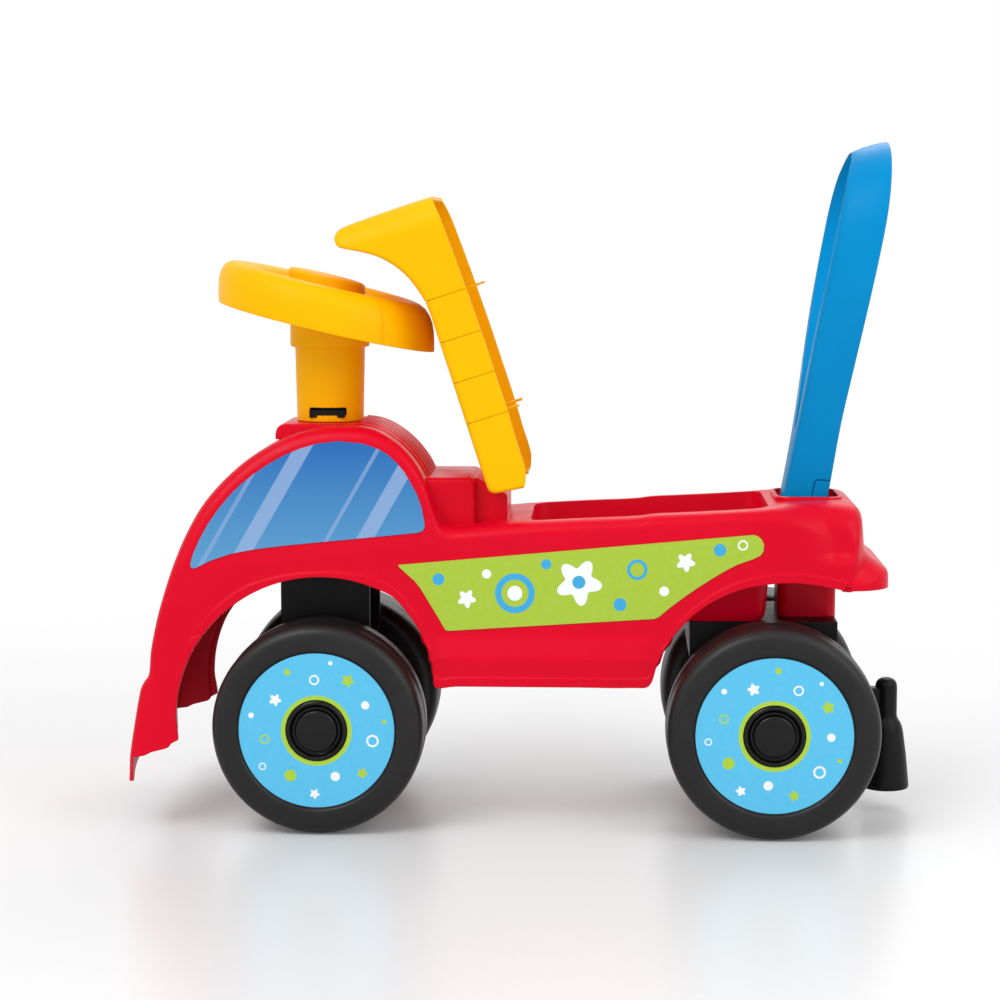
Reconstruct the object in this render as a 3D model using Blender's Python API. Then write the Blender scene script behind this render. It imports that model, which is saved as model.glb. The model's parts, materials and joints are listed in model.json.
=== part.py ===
"""Foot-to-floor ride-on car with an opening seat lid, rebuilt from one photograph.

Frame: metres, +Z up, the nose points to -X and the car's left side to -Y, the side that the photograph
shows. The origin is the middle of the bounding box on the floor. Inside the functions X runs back from the
front axle; every object is moved by CAR_X at the end, so that the same numbers serve all parts.

The feature that took the most skill is the moulded body shell: one skin of sections that turn from the
bumper over the hood to the seat box and the tail, thickened inwards, with its moulded-in parts joined on.
"""

import math

import bmesh
import bpy
from mathutils import Matrix, Vector

MM = 0.001

# Fits. Pieces that touch in the real toy stand this far apart.
TOUCH_GAP = 0.3 * MM
RUN_GAP = 0.3 * MM
PILOT_GAP = 0.2 * MM
SCREW_HOLE_GAP = 0.4 * MM
STICKER_THICKNESS = 0.4 * MM

# Rolling gear.
WHEEL_RADIUS = 75.0 * MM
WHEEL_WIDTH = 56.0 * MM
WHEELBASE = 319.2 * MM
FRONT_FACE_Y = 106.0 * MM
REAR_FACE_Y = 112.5 * MM
AXLE_RADIUS = 4.0 * MM
HUB_RECESS_RADIUS = 21.5 * MM
HUB_RECESS_DEPTH = 14.0 * MM
DECAL_FACE_DEPTH = 2.0 * MM
TYRE_FACE_WIDTH = 20.3 * MM
DECAL_RADIUS = WHEEL_RADIUS - TYRE_FACE_WIDTH
HUB_DISC_RADIUS = 14.5 * MM
HUB_BOSS_RADIUS = 13.0 * MM
HUB_BOSS_REACH = 61.6 * MM
WHEEL_SIDES = 24
AXLE_END_DEPTH = 8.0 * MM
AXLE_Z = WHEEL_RADIUS

# Body shell.
SHELL_WALL = 3.0 * MM
BUMPER_REACH = 135.5 * MM
BELT_Z = 190.0 * MM
BELT_HALF_WIDTH = 74.5 * MM
WALL_SLOPE = 0.09
CAB_SLOPE = 0.19
WINDOW_LINE_Z = 193.5 * MM
WINDOW_LINE_RISE = 0.113
FLARE_Z = 139.0 * MM
FENDER_SLOPE = 0.155
SILL_BULGE = 5.4 * MM
SILL_BULGE_HEIGHT = 16.0 * MM
SILL_Z = 103.5 * MM
SILL_FRONT_X = 84.0 * MM
SILL_AHEAD_OF_AXLE = 94.0 * MM
TAIL_Z = 171.6 * MM
HOOD_TOP_Z = 284.6 * MM
PAD_TOP_Z = 286.0 * MM
TAIL_TOP_Z = 231.8 * MM
PEDESTAL_X = 92.0 * MM
PEDESTAL_HALF_LENGTH = 16.0 * MM
PEDESTAL_HALF_WIDTH = 46.0 * MM
PEDESTAL_TOP_Z = 247.4 * MM

# Seat lid and its hinge.
HINGE_X = 121.9 * MM
HINGE_Z = 248.0 * MM
LID_OPEN_ANGLE = math.radians(108.0)
LID_WALL = 2.6 * MM
LID_HALF_WIDTH = 66.0 * MM
HINGE_PIN_RADIUS = 2.5 * MM
LUG_RADIUS = 6.3 * MM
LUG_INNER_Y = 30.0 * MM
LUG_OUTER_Y = 37.0 * MM
EAR_INNER_Y = 38.5 * MM
EAR_OUTER_Y = 42.0 * MM

# Steering.
STEM_RADIUS = 20.0 * MM
BEARING_WALL = 4.4 * MM
STEM_TOP_Z = 330.0 * MM
COLUMN_FOOT_RADIUS = 23.7 * MM
COLUMN_TOP_RADIUS = 25.1 * MM
COLLAR_RADIUS = 28.8 * MM
COLLAR_Z = 339.5 * MM
STEERING_RADIUS = 80.4 * MM
STEERING_TILT = math.radians(12.9)
STEERING_CENTRE = (-2.3 * MM, 353.8 * MM)
SLOT_HALF = 13.5 * MM
SLOT_LOW_Z = 288.0 * MM
SLOT_HIGH_Z = 294.5 * MM
STEERING_HUB_RADIUS = 36.0 * MM
WEB_HEIGHT = 17.5 * MM
HUB_FACE_HEIGHT = 25.0 * MM
HUB_COVER_RADIUS = 28.5 * MM
FORK_HALF_LENGTH = 32.0 * MM
FORK_HALF_WIDTH = 44.0 * MM
FORK_WALL = 6.0 * MM
FORK_TOP_Z = 199.7 * MM
FORK_CROWN_HEIGHT = 71.7 * MM
FORK_FOOT_HALF = 13.0 * MM
FORK_FOOT_DROP = 9.0 * MM

# Rear end: well, handle socket, carrier and foot.
WELL_FRONT_X = 147.0 * MM
WELL_REAR_GAP = 1.2 * MM
WELL_HALF_WIDTH = 59.0 * MM
WELL_FLOOR_HALF_WIDTH = 51.0 * MM
WELL_FLOOR_Z = 149.0 * MM
TUB_WALL = 3.0 * MM
SOCKET_BEHIND_AXLE = 26.8 * MM
SOCKET_HALF_LENGTH = 17.0 * MM
SOCKET_HALF_WIDTH = 21.0 * MM
SOCKET_WALL = 3.3 * MM
SOCKET_RIM_RISE = 1.6 * MM
CARRIER_FRONT = 57.2 * MM
CARRIER_REAR = 47.8 * MM
CARRIER_HALF_WIDTH = 50.6 * MM
CARRIER_WALL = 4.5 * MM
CARRIER_FRONT_HEIGHT = 26.0 * MM
CARRIER_SCREW_INSET = 10.2 * MM
CARRIER_SCREW_SIDE_INSET = 16.6 * MM
CARRIER_SCREW_SPACING = 34.0 * MM
CHEEK_HALF_LENGTH = 16.0 * MM
CHEEK_DROP = 12.0 * MM
FOOT_BEHIND_AXLE = 88.7 * MM
FOOT_RADIUS = 17.4 * MM
FOOT_LOW_Z = 15.5 * MM
FOOT_PEG_RADIUS = 8.0 * MM
FOOT_TOP_Z = 97.4 * MM
FOOT_PLATE_Z = 92.0 * MM
FOOT_PLATE_HALF_WIDTH = 26.0 * MM
FOOT_PLATE_HALF_HEIGHT = 11.0 * MM
FOOT_PLATE_THICKNESS = 3.5 * MM
FOOT_SCREW_Y = 19.0 * MM
SCREW_RADIUS = 1.5 * MM
SCREW_HEAD_RADIUS = 3.5 * MM
HANDLE_TILT = math.radians(10.5)
HANDLE_DEPTH = 29.0 * MM
HANDLE_LOOP_RADIUS = 64.0 * MM
HANDLE_BAND = 13.0 * MM
HANDLE_TOP_Z = 487.0 * MM

REAR_X = WHEELBASE
SOCKET_RIM_Z = TAIL_TOP_Z + SOCKET_RIM_RISE
BEARING_LOW_Z = FORK_TOP_Z + TOUCH_GAP
COLUMN_BORE_TOP_Z = COLLAR_Z + 12.5 * MM
FOOT_PLATE_X = WHEELBASE + CARRIER_REAR + TOUCH_GAP
SOCKET_X = REAR_X + SOCKET_BEHIND_AXLE
FOOT_X = REAR_X + FOOT_BEHIND_AXLE
WELL_REAR_X = REAR_X - WELL_REAR_GAP
TUB_BOTTOM_Z = WELL_FLOOR_Z - TUB_WALL
CARRIER_TOP_Z = TUB_BOTTOM_Z - TOUCH_GAP
COLUMN_FOOT_Z = PAD_TOP_Z + TOUCH_GAP
CAR_X = -(FOOT_X + FOOT_RADIUS - BUMPER_REACH) / 2

AXIS_X = Vector((1, 0, 0))
AXIS_Y = Vector((0, 1, 0))
AXIS_Z = Vector((0, 0, 1))


# Small modelling helpers

def srgb(red, green, blue):
    """A linear colour from 8-bit display values."""
    shares = (value / 255 for value in (red, green, blue))
    return [s / 12.92 if s <= 0.04045 else ((s + 0.055) / 1.055) ** 2.4 for s in shares] + [1.0]


def material(name, colour, roughness, metallic=0.0):
    made = bpy.data.materials.new(name)
    made.use_nodes = True
    shader = made.node_tree.nodes["Principled BSDF"]
    shader.inputs["Base Color"].default_value = colour
    shader.inputs["Roughness"].default_value = roughness
    shader.inputs["Metallic"].default_value = metallic
    made.diffuse_color = colour
    return made


def link(name, mesh, paint=None):
    obj = bpy.data.objects.new(name, mesh)
    bpy.context.collection.objects.link(obj)
    if paint:
        mesh.materials.append(paint)
    return obj


def finish(name, bm, paint=None):
    """An object from a closed bmesh, its normals turned outwards."""
    bmesh.ops.remove_doubles(bm, verts=bm.verts, dist=1e-6)
    bmesh.ops.recalc_face_normals(bm, faces=bm.faces)
    mesh = bpy.data.meshes.new(name)
    bm.to_mesh(mesh)
    bm.free()
    return link(name, mesh, paint)


def tool(obj):
    """Turns an object into a helper for a Boolean, out of the render."""
    obj.hide_render = True
    obj.display_type = "WIRE"
    return obj


def boolean(obj, operation, others):
    for other in others:
        step = obj.modifiers.new(operation.lower() + "_" + other.name, "BOOLEAN")
        step.operation = operation
        step.solver = "EXACT"
        step.object = tool(other)
    return obj


def join(obj, *others):
    return boolean(obj, "UNION", others)


def cut(obj, *others):
    return boolean(obj, "DIFFERENCE", others)


def smooth(obj, degrees=35):
    obj.data.polygons.foreach_set("use_smooth", [True] * len(obj.data.polygons))
    obj.data.set_sharp_from_angle(angle=math.radians(degrees))
    return obj


def box(name, low, high, paint=None):
    bm = bmesh.new()
    size = [b - a for a, b in zip(low, high)]
    middle = [(a + b) / 2 for a, b in zip(low, high)]
    bmesh.ops.create_cube(bm, size=1, matrix=Matrix.Translation(middle) @ Matrix.Diagonal((*size, 1)))
    return finish(name, bm, paint)


def lerp(first, second, share):
    return first + (second - first) * share


def bezier(pulls, t):
    a, b, c, d = pulls
    return a * (1 - t) ** 3 + b * 3 * t * (1 - t) ** 2 + c * 3 * t * t * (1 - t) + d * t ** 3


def prism(name, outline, low_y, high_y, paint=None):
    """An outline of (x, z) points carried from low_y to high_y."""
    bm = bmesh.new()
    face = bm.faces.new([bm.verts.new((x, low_y, z)) for x, z in outline])
    side = bmesh.ops.extrude_face_region(bm, geom=[face])["geom"]
    moved = [item for item in side if isinstance(item, bmesh.types.BMVert)]
    bmesh.ops.translate(bm, verts=moved, vec=(0, high_y - low_y, 0))
    return finish(name, bm, paint)


def loft(name, rings, paint=None):
    """A solid through rings of equal counts, with a face on each end."""
    bm = bmesh.new()
    rows = [[bm.verts.new(point) for point in ring] for ring in rings]
    for first, second in zip(rows, rows[1:]):
        for i in range(len(first)):
            j = (i + 1) % len(first)
            bm.faces.new((first[i], first[j], second[j], second[i]))
    bm.faces.new(rows[0])
    bm.faces.new(rows[-1])
    return finish(name, bm, paint)


def spun(name, profile, axis, steps, paint=None, centre=(0, 0, 0), degrees=35):
    """A turned solid from a closed profile of (radius, height) points about an axis through the centre."""
    bm = bmesh.new()
    across = Vector((1, 0, 0)) if axis.x == 0 else Vector((0, 0, 1))
    ring = [bm.verts.new(across * r + axis * h) for r, h in profile]
    edges = [bm.edges.new((a, b)) for a, b in zip(ring, ring[1:] + ring[:1])]
    bmesh.ops.spin(bm, geom=ring + edges, cent=(0, 0, 0), axis=axis, angle=math.tau, steps=steps,
                   use_merge=True)
    bmesh.ops.remove_doubles(bm, verts=bm.verts, dist=1e-6)
    bmesh.ops.dissolve_degenerate(bm, dist=1e-7, edges=bm.edges)
    bmesh.ops.translate(bm, verts=bm.verts, vec=centre)
    return smooth(finish(name, bm, paint), degrees)


def rod(name, axis, radius, low, high, steps=16, paint=None, centre=(0, 0, 0)):
    return spun(name, ((0, low), (radius, low), (radius, high), (0, high)), axis, steps, paint, centre)


def rounded_ring(half_x, half_y, radius, centre_x, z, steps=2):
    """Points round a rectangle with rounded corners, at one height."""
    points = []
    for quarter, (sx, sy) in enumerate(((1, 1), (-1, 1), (-1, -1), (1, -1))):
        for step in range(steps + 1):
            angle = math.radians(90 * (quarter + step / steps))
            x = centre_x + sx * (half_x - radius) + radius * math.cos(angle)
            points.append((x, sy * (half_y - radius) + radius * math.sin(angle), z))
    return points


def along(points, x):
    """The value at x of a polyline of (x, value) points."""
    if x <= points[0][0]:
        return points[0][1]
    for (x0, v0), (x1, v1) in zip(points, points[1:]):
        if x <= x1:
            return v0 + (v1 - v0) * (x - x0) / (x1 - x0)
    return points[-1][1]


def smooth_step(value, low, high):
    share = min(max((value - low) / (high - low), 0), 1)
    return share * share * (3 - 2 * share)


def to_m(points):
    return [tuple(value * MM for value in point) for point in points]


# The body's outer surface

def half_width(x, z):
    """Half of the body's width: the cab leans in above the window line, and fenders and sill flare out."""
    line = WINDOW_LINE_Z + WINDOW_LINE_RISE * x
    upright = BELT_HALF_WIDTH + WALL_SLOPE * (BELT_Z - z)
    if z > line:
        cab = BELT_HALF_WIDTH + WALL_SLOPE * (BELT_Z - line) - CAB_SLOPE * (z - line)
        share = smooth_step(x, 80 * MM, 98 * MM)
        return cab + (upright - cab) * share
    if z >= FLARE_Z:
        return upright
    foot = BELT_HALF_WIDTH + WALL_SLOPE * (BELT_Z - FLARE_Z)
    fender = foot + FENDER_SLOPE * (FLARE_Z - z)
    sill = foot + SILL_BULGE * min((FLARE_Z - z) / SILL_BULGE_HEIGHT, 1)
    front = SILL_FRONT_X - 10 * MM
    rear = REAR_X - SILL_AHEAD_OF_AXLE
    near_sill = smooth_step(x, front, front + 18 * MM) * (1 - smooth_step(x, rear, rear + 20 * MM))
    return fender + (sill - fender) * near_sill


def arch_point(axle_x, gaps, degrees):
    """A point on a wheel arch: the wheel's radius and the gap at that angle, round the axle."""
    reach = WHEEL_RADIUS + along(gaps, degrees) * MM
    angle = math.radians(degrees)
    return (axle_x + reach * math.cos(angle), AXLE_Z + reach * math.sin(angle))


FRONT_ARCH_GAPS = ((19, 11.6), (60, 29.5), (150, 29.5), (187, 26.0))
REAR_ARCH_GAPS = ((63, 34.0), (70, 31.0), (88, 26.7), (113, 23.7), (143, 18.8), (161, 16.6))

# Sections of the nose and hood: outer skin on the centre line (x, z), arch angle at the rim, corner radius.
HOOD_SECTIONS = (
    (-134.0, 53.0, 187, 8), (-130.0, 80.0, 176, 9), (-127.0, 98.5, 166, 9), (-121.3, 108.0, 160, 9),
    (-119.7, 125.3, 151, 9), (-116.0, 146.4, 143, 9),
    (-111.0, 166.0, 135, 9), (-103.2, 191.0, 127, 9), (-95.2, 211.0, 120, 9), (-84.2, 230.5, 113, 9),
    (-66.0, 250.6, 105, 9), (-46.5, 265.8, 97, 9), (-24.5, 277.2, 89, 9), (-1.0, 283.4, 82, 9),
    (20.0, 284.6, 75, 9), (37.0, 282.2, 67, 9), (50.0, 275.3, 60, 9), (60.5, 266.0, 53, 9),
    (69.5, 254.0, 46, 9), (75.5, 241.0, 39, 9), (80.5, 227.0, 33, 9), (85.0, 216.5, 26, 9),
    (91.0, 213.8, 19, 9),
)

# Seat box between the arches: share of the way from hood to tail, and the height of its top.
SEAT_SECTIONS = ((0.10, 215.0), (0.37, 218.8), (0.66, 221.5), (0.92, 223.1))

# Tail, behind the rear axle: x, drop of its top under the tail's highest point, arch angle, corner radius.
TAIL_SECTIONS = (
    (-83, 8.0, 161, 9), (-66, 7.1, 149, 9), (-46, 6.1, 134, 9), (-27, 5.0, 119, 9),
    (-8, 3.7, 104, 10), (8, 1.8, 91, 13), (24, 0.2, 81, 17), (40, 0.0, 73, 21),
    (51, 0.8, 69, 23), (58.8, 3.6, 66, 25), (63.0, 9.8, 63, 26),
)
TAIL_FLANGE = (
    (65.2, 211.0, 50.4), (67.5, 200.0, 51.2), (79.0, 191.0, 52.2), (82.8, 185.6, 53.0), (83.2, 172.0, 53.8),
)


def hood_rows():
    """Sections of nose and hood, as (outer point, rim point, corner radius)."""
    return [((x * MM, z * MM), arch_point(0, FRONT_ARCH_GAPS, angle), radius * MM)
            for x, z, angle, radius in HOOD_SECTIONS]


def tail_rows():
    return [((REAR_X + x * MM, TAIL_TOP_Z - drop * MM), arch_point(REAR_X, REAR_ARCH_GAPS, angle), radius * MM)
            for x, drop, angle, radius in TAIL_SECTIONS]


def seat_rows():
    """Sections of the seat box, shared out between the last one of the hood and the first one of the tail."""
    hood = hood_rows()[-1]
    tail = tail_rows()[0]
    rows = []
    for share, z in SEAT_SECTIONS:
        sill_x = lerp(hood[1][0], tail[1][0], share)
        rows.append(((lerp(hood[0][0], tail[0][0], share), z * MM), (sill_x, SILL_Z), hood[2]))
    return rows


def body_sections():
    """Every section as (outer point, rim point, corner radius), from the bumper's lip to the tail flange."""
    nose = -BUMPER_REACH
    rows = [((nose, 37.0 * MM), (nose + 7.0 * MM, 45.8 * MM), 7 * MM)]
    rows.append(((nose + 0.6 * MM, 44.0 * MM), (nose + 18.5 * MM, 56.3 * MM), 7.5 * MM))
    rows += hood_rows() + seat_rows() + tail_rows()
    for x, z, rim_x in TAIL_FLANGE:
        rows.append(((REAR_X + x * MM, z * MM), (REAR_X + rim_x * MM, TAIL_Z), 26 * MM))
    return rows


def crossing(outer, direction, level, rise):
    """How far along the section line it meets the line z = level + rise * x."""
    slope = direction[1] - rise * direction[0]
    return (level + rise * outer[0] - outer[1]) / slope if abs(slope) > 1e-9 else -1


def half_section(outer, rim, radius, width_at, creases, arc_steps):
    """Points from the flat top down one side. The side's points are shared out between the crease lines."""
    length = math.hypot(rim[0] - outer[0], rim[1] - outer[1])
    direction = ((rim[0] - outer[0]) / length, (rim[1] - outer[1]) / length)
    points = []
    for step in range(arc_steps + 1):
        angle = math.pi / 2 * step / arc_steps
        inward = radius * (1 - math.sin(angle))
        points.append((radius * (1 - math.cos(angle)), inward))
    knots = [radius]
    for index, (level, rise) in enumerate(creases):
        at = crossing(outer, direction, level, rise)
        if not knots[-1] + 1.5 * MM < at < length - 1.5 * MM:
            at = knots[-1] + (length - knots[-1]) / (len(creases) + 1 - index)
        knots.append(at)
    knots.append(length)
    for first, second in zip(knots, knots[1:]):
        if not creases:
            points.append(((first + second) / 2, 0))
        points.append((second, 0))
    placed = []
    for down, inward in points:
        x = outer[0] + direction[0] * down
        z = outer[1] + direction[1] * down
        placed.append((x, width_at(x, z) - inward, z))
    return placed


def skin(name, sections, width_at, creases, arc_steps, paint=None):
    """An open sheet through the sections, its faces turned outwards."""
    bm = bmesh.new()
    rows = []
    for outer, rim, radius in sections:
        half = half_section(outer, rim, radius, width_at, creases, arc_steps)
        left = [(x, -y, z) for x, y, z in reversed(half)]
        rows.append([bm.verts.new(point) for point in left + half])
    for first, second in zip(rows, rows[1:]):
        for j in range(len(first) - 1):
            bm.faces.new((first[j], second[j], second[j + 1], first[j + 1]))
    mesh = bpy.data.meshes.new(name)
    bm.to_mesh(mesh)
    bm.free()
    return smooth(link(name, mesh, paint), 30)


def thicken(obj, wall):
    solid = obj.modifiers.new("wall", "SOLIDIFY")
    solid.thickness = wall
    solid.offset = -1
    solid.use_even_offset = True
    solid.use_rim = True
    return obj


def hood_line():
    return [row[0] for row in hood_rows() + seat_rows()]


def seat_line():
    return [row[0] for row in seat_rows() + tail_rows()]


# Moulded-in parts of the shell

def column_pad():
    """The plinth on the hood under the steering column."""
    top = hood_line()
    under = [(x, z - SHELL_WALL / 2) for x, z in top if -45 * MM < x < 42 * MM]
    front = [(-40.5 * MM, PAD_TOP_Z - 6 * MM), (-38.5 * MM, PAD_TOP_Z - 1.8 * MM), (-34 * MM, PAD_TOP_Z)]
    outline = under[::-1] + [(-40.5 * MM, 266 * MM)] + front + [(36 * MM, PAD_TOP_Z), (46 * MM, 281 * MM)]
    outline = [point for point in outline if point[0] > -41 * MM]
    return prism("pad", outline, -37 * MM, 37 * MM)


def hood_strip():
    """The raised strip that runs from the plinth down the hood's back."""
    back = [(x, z) for x, z in hood_line() if 30 * MM < x < 84 * MM]
    outer = [(x + 1.6 * MM, z + 1.3 * MM) for x, z in back]
    inner = [(x - 1.2 * MM, z - 1.0 * MM) for x, z in back]
    return prism("strip", outer + inner[::-1], -33 * MM, 33 * MM)


def pedestal():
    """The block behind the hood that carries the hinge, open from below."""
    rows = ((209 * MM, 0, 7), (PEDESTAL_TOP_Z - 7.4 * MM, 0, 7), (PEDESTAL_TOP_Z - 2.4 * MM, 0.7 * MM, 7),
            (PEDESTAL_TOP_Z, 3.5 * MM, 5))
    return loft("pedestal", [
        rounded_ring(PEDESTAL_HALF_LENGTH - inset, PEDESTAL_HALF_WIDTH - inset, radius * MM, PEDESTAL_X, z)
        for z, inset, radius in rows])


def pedestal_hollow():
    wall = 3.5 * MM
    return loft("pedestal_hollow", [
        rounded_ring(PEDESTAL_HALF_LENGTH - wall, PEDESTAL_HALF_WIDTH - wall, 4 * MM, PEDESTAL_X, z, 1)
        for z in (188 * MM, PEDESTAL_TOP_Z - wall)])


def hinge_outline(wall, low_z):
    """Side view of the block between pedestal and well, or of the space inside it, under the lid's hinge."""
    front = PEDESTAL_X + PEDESTAL_HALF_LENGTH - 4 * MM - wall
    rear = HINGE_X + 9.1 * MM - wall
    slope_z = HINGE_Z - 10 * MM - 0.7 * wall
    return [(front, low_z), (rear, low_z), (rear, slope_z - 3.4 * MM), (rear - 6 * MM, slope_z),
            (HINGE_X - 12.9 * MM - wall / 2, HINGE_Z - 1.4 * MM - wall), (front, HINGE_Z - 1.4 * MM - wall)]


def lug_outline():
    arc = [math.radians(30 * step) for step in range(7)]
    crown = [(HINGE_X + LUG_RADIUS * math.cos(a), HINGE_Z + LUG_RADIUS * math.sin(a)) for a in arc]
    return crown + [(HINGE_X - LUG_RADIUS, HINGE_Z - 10 * MM), (HINGE_X + LUG_RADIUS, HINGE_Z - 15.5 * MM)]


def frustum(name, low_z, top_offset, grow):
    """The well's outside or inside: narrow at the floor, its top parallel to the seat."""
    top = seat_line()
    rings = []
    for taper_front, taper_rear, half_width_y, high in (
            (7 * MM, 5 * MM, WELL_FLOOR_HALF_WIDTH, False), (0, 0, WELL_HALF_WIDTH, True)):
        front = WELL_FRONT_X + taper_front - grow
        rear = WELL_REAR_X - taper_rear + grow
        ring = rounded_ring((rear - front) / 2, half_width_y + grow, 12 * MM, (front + rear) / 2, 0)
        rings.append([(x, y, along(top, x) + top_offset if high else low_z) for x, y, _ in ring])
    return loft(name, rings)


def screw_bosses():
    """Where the carrier's screws bite into the floor of the well."""
    return [rod(f"boss_{i}", AXIS_Z, 6 * MM, TUB_BOTTOM_Z + 1 * MM, TUB_BOTTOM_Z + 12 * MM, 8, None, (x, y, 0))
            for i, (x, y) in enumerate(carrier_screw_places())]


def carrier_screw_places():
    front = REAR_X - CARRIER_FRONT + CARRIER_SCREW_INSET
    half = CARRIER_HALF_WIDTH - CARRIER_SCREW_SIDE_INSET
    return [(x, y) for x in (front, front + CARRIER_SCREW_SPACING) for y in (-half, half)]


def body_shell(paint):
    """The one-piece moulded body: cab, fenders, seat box, well, handle socket and steering bearing."""
    creases = ((WINDOW_LINE_Z, WINDOW_LINE_RISE), (FLARE_Z, 0), (FLARE_Z - SILL_BULGE_HEIGHT, 0))
    shell = thicken(skin("body_shell", body_sections(), half_width, creases, 3, paint), SHELL_WALL)
    socket = SOCKET_HALF_LENGTH + SOCKET_WALL
    bearing = STEM_RADIUS + RUN_GAP
    rim = [rounded_ring(socket + 3 * MM, SOCKET_HALF_WIDTH + 7 * MM, 9 * MM, SOCKET_X, z)
           for z in (SOCKET_RIM_Z - 5 * MM, SOCKET_RIM_Z)]
    tube = [rounded_ring(socket, SOCKET_HALF_WIDTH + SOCKET_WALL, 7 * MM, SOCKET_X, z)
            for z in (TUB_BOTTOM_Z, SOCKET_RIM_Z - 2 * MM)]
    parts = [
        column_pad(), hood_strip(), pedestal(),
        prism("hinge_block", hinge_outline(0, 211 * MM), -LUG_OUTER_Y, LUG_OUTER_Y),
        prism("lug_left", lug_outline(), -LUG_OUTER_Y + 0.2 * MM, -LUG_INNER_Y),
        prism("lug_right", lug_outline(), LUG_INNER_Y, LUG_OUTER_Y - 0.2 * MM),
        frustum("tub", TUB_BOTTOM_Z, -1.2 * MM, TUB_WALL),
        loft("socket_tube", tube), loft("socket_rim", rim),
        rod("bearing", AXIS_Z, bearing + BEARING_WALL, BEARING_LOW_Z, HOOD_TOP_Z - 3.2 * MM, 24),
        box("rib_across", (-1.2 * MM, -51 * MM, 226 * MM), (1.3 * MM, 51 * MM, HOOD_TOP_Z - 2.5 * MM)),
    ]
    join(shell, *parts)
    cut(shell,
        frustum("well", WELL_FLOOR_Z, 14 * MM, 0),
        pedestal_hollow(),
        prism("hinge_hollow", hinge_outline(SHELL_WALL, 195 * MM), SHELL_WALL - LUG_OUTER_Y,
              LUG_OUTER_Y - SHELL_WALL),
        rod("hinge_bore", AXIS_Y, HINGE_PIN_RADIUS + RUN_GAP, -0.05, 0.05, 12, None, (HINGE_X, 0, HINGE_Z)),
        rod("bearing_bore", AXIS_Z, bearing, BEARING_LOW_Z - 5 * MM, PAD_TOP_Z + 5 * MM, 24),
        loft("socket_bore", [rounded_ring(SOCKET_HALF_LENGTH, SOCKET_HALF_WIDTH, 4 * MM, SOCKET_X, z)
                             for z in (TUB_BOTTOM_Z - 5 * MM, SOCKET_RIM_Z + 5 * MM)]))
    join(shell, *screw_bosses())
    low = TUB_BOTTOM_Z - 5 * MM
    pilots = [rod(f"pilot_{i}", AXIS_Z, SCREW_RADIUS + PILOT_GAP, low, low + 15 * MM, 8, None, (x, y, 0))
              for i, (x, y) in enumerate(carrier_screw_places())]
    cut(shell, *pilots)
    return shell


# Stickers on the body

WINDOW_OUTLINE = to_m((
    (-92.5, 188.3), (-88.9, 185.5), (-78.3, 190.5), (-64.1, 195.4), (-44.9, 199.0), (-21.5, 201.9),
    (27.4, 206.7), (72.0, 211.4), (74.1, 217.0), (71.8, 228.1), (63.9, 245.5), (53.0, 260.2), (40.9, 269.2),
    (29.4, 273.4), (12.3, 274.6), (-3.3, 272.6), (-26.4, 264.6), (-49.4, 250.6), (-64.8, 236.4),
    (-80.1, 215.6), (-90.5, 195.3)))

# The stripe's front end keeps its place behind the front axle, its rear end the place ahead of the rear one.
STRIPE_FRONT = to_m(((55.3, 188.4), (62.4, 181.4), (71.6, 171.6), (78.7, 159.7), (85.8, 149.2), (90.8, 142.6)))
STRIPE_REAR = to_m((
    (-83.3, 151.6), (-71.4, 160.1), (-61.0, 167.8), (-42.8, 179.9), (-25.4, 189.8), (-10.7, 195.4),
    (-6.9, 199.0), (-6.5, 204.0), (-8.9, 209.0), (-13.6, 210.8)))


def side_sticker(name, outline, side, paint):
    """A sticker that lies on one flat stretch of the body's side."""
    rings = []
    for lift in (TOUCH_GAP, TOUCH_GAP + STICKER_THICKNESS):
        rings.append([(x, side * (half_width(x, z) + lift), z) for x, z in outline])
    return loft(name, rings, paint)


# Rolling gear

def wheel_profile():
    """Radius and distance in from the outer face: tread, shoulders, sticker face, hub recess and inner boss."""
    recess = HUB_RECESS_RADIUS
    bore = AXLE_RADIUS + RUN_GAP
    tyre = WHEEL_RADIUS
    boss = HUB_BOSS_RADIUS
    width = WHEEL_WIDTH
    face = DECAL_FACE_DEPTH
    return [
        (bore, HUB_RECESS_DEPTH), (recess, HUB_RECESS_DEPTH), (recess, face), (DECAL_RADIUS + 1.2 * MM, face),
        (DECAL_RADIUS + 3.2 * MM, 0), (tyre - 10.5 * MM, 0), (tyre - 4.6 * MM, 2.6 * MM),
        (tyre - 1.0 * MM, 8 * MM), (tyre, 16 * MM), (tyre, width - 12 * MM), (tyre - 3 * MM, width - 3 * MM),
        (tyre - 11 * MM, width),
        (boss, width - 5 * MM), (boss, HUB_BOSS_REACH), (bore, HUB_BOSS_REACH),
    ]


def wheel(name, side, paint):
    """A hollow blow-moulded wheel: the cavity opens through a small blow hole on the inner face."""
    outer_face = side * (FRONT_FACE_Y if "front" in name else REAR_FACE_Y)
    axis = AXIS_Y * -side
    body = spun(name, wheel_profile(), axis, WHEEL_SIDES, paint)
    wall = 3.2 * MM
    low = HUB_RECESS_DEPTH + wall
    cavity = ((HUB_BOSS_RADIUS, low), (HUB_RECESS_RADIUS + wall, low), (HUB_RECESS_RADIUS + wall, 5.4 * MM),
              (WHEEL_RADIUS - 13 * MM, 5.4 * MM), (WHEEL_RADIUS - wall, 17 * MM),
              (WHEEL_RADIUS - wall, WHEEL_WIDTH - 16 * MM), (WHEEL_RADIUS - 18 * MM, WHEEL_WIDTH - 9 * MM),
              (HUB_BOSS_RADIUS, WHEEL_WIDTH - 9 * MM))
    hollow = spun(name + "_cavity", cavity, axis, 10)
    blow = rod(name + "_blow_hole", AXIS_Y, 3 * MM, -0.02, 0.02, 8, None, (40 * MM, -side * WHEEL_WIDTH, 0))
    cut(body, hollow, blow)
    return [body, hollow, blow], outer_face


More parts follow.
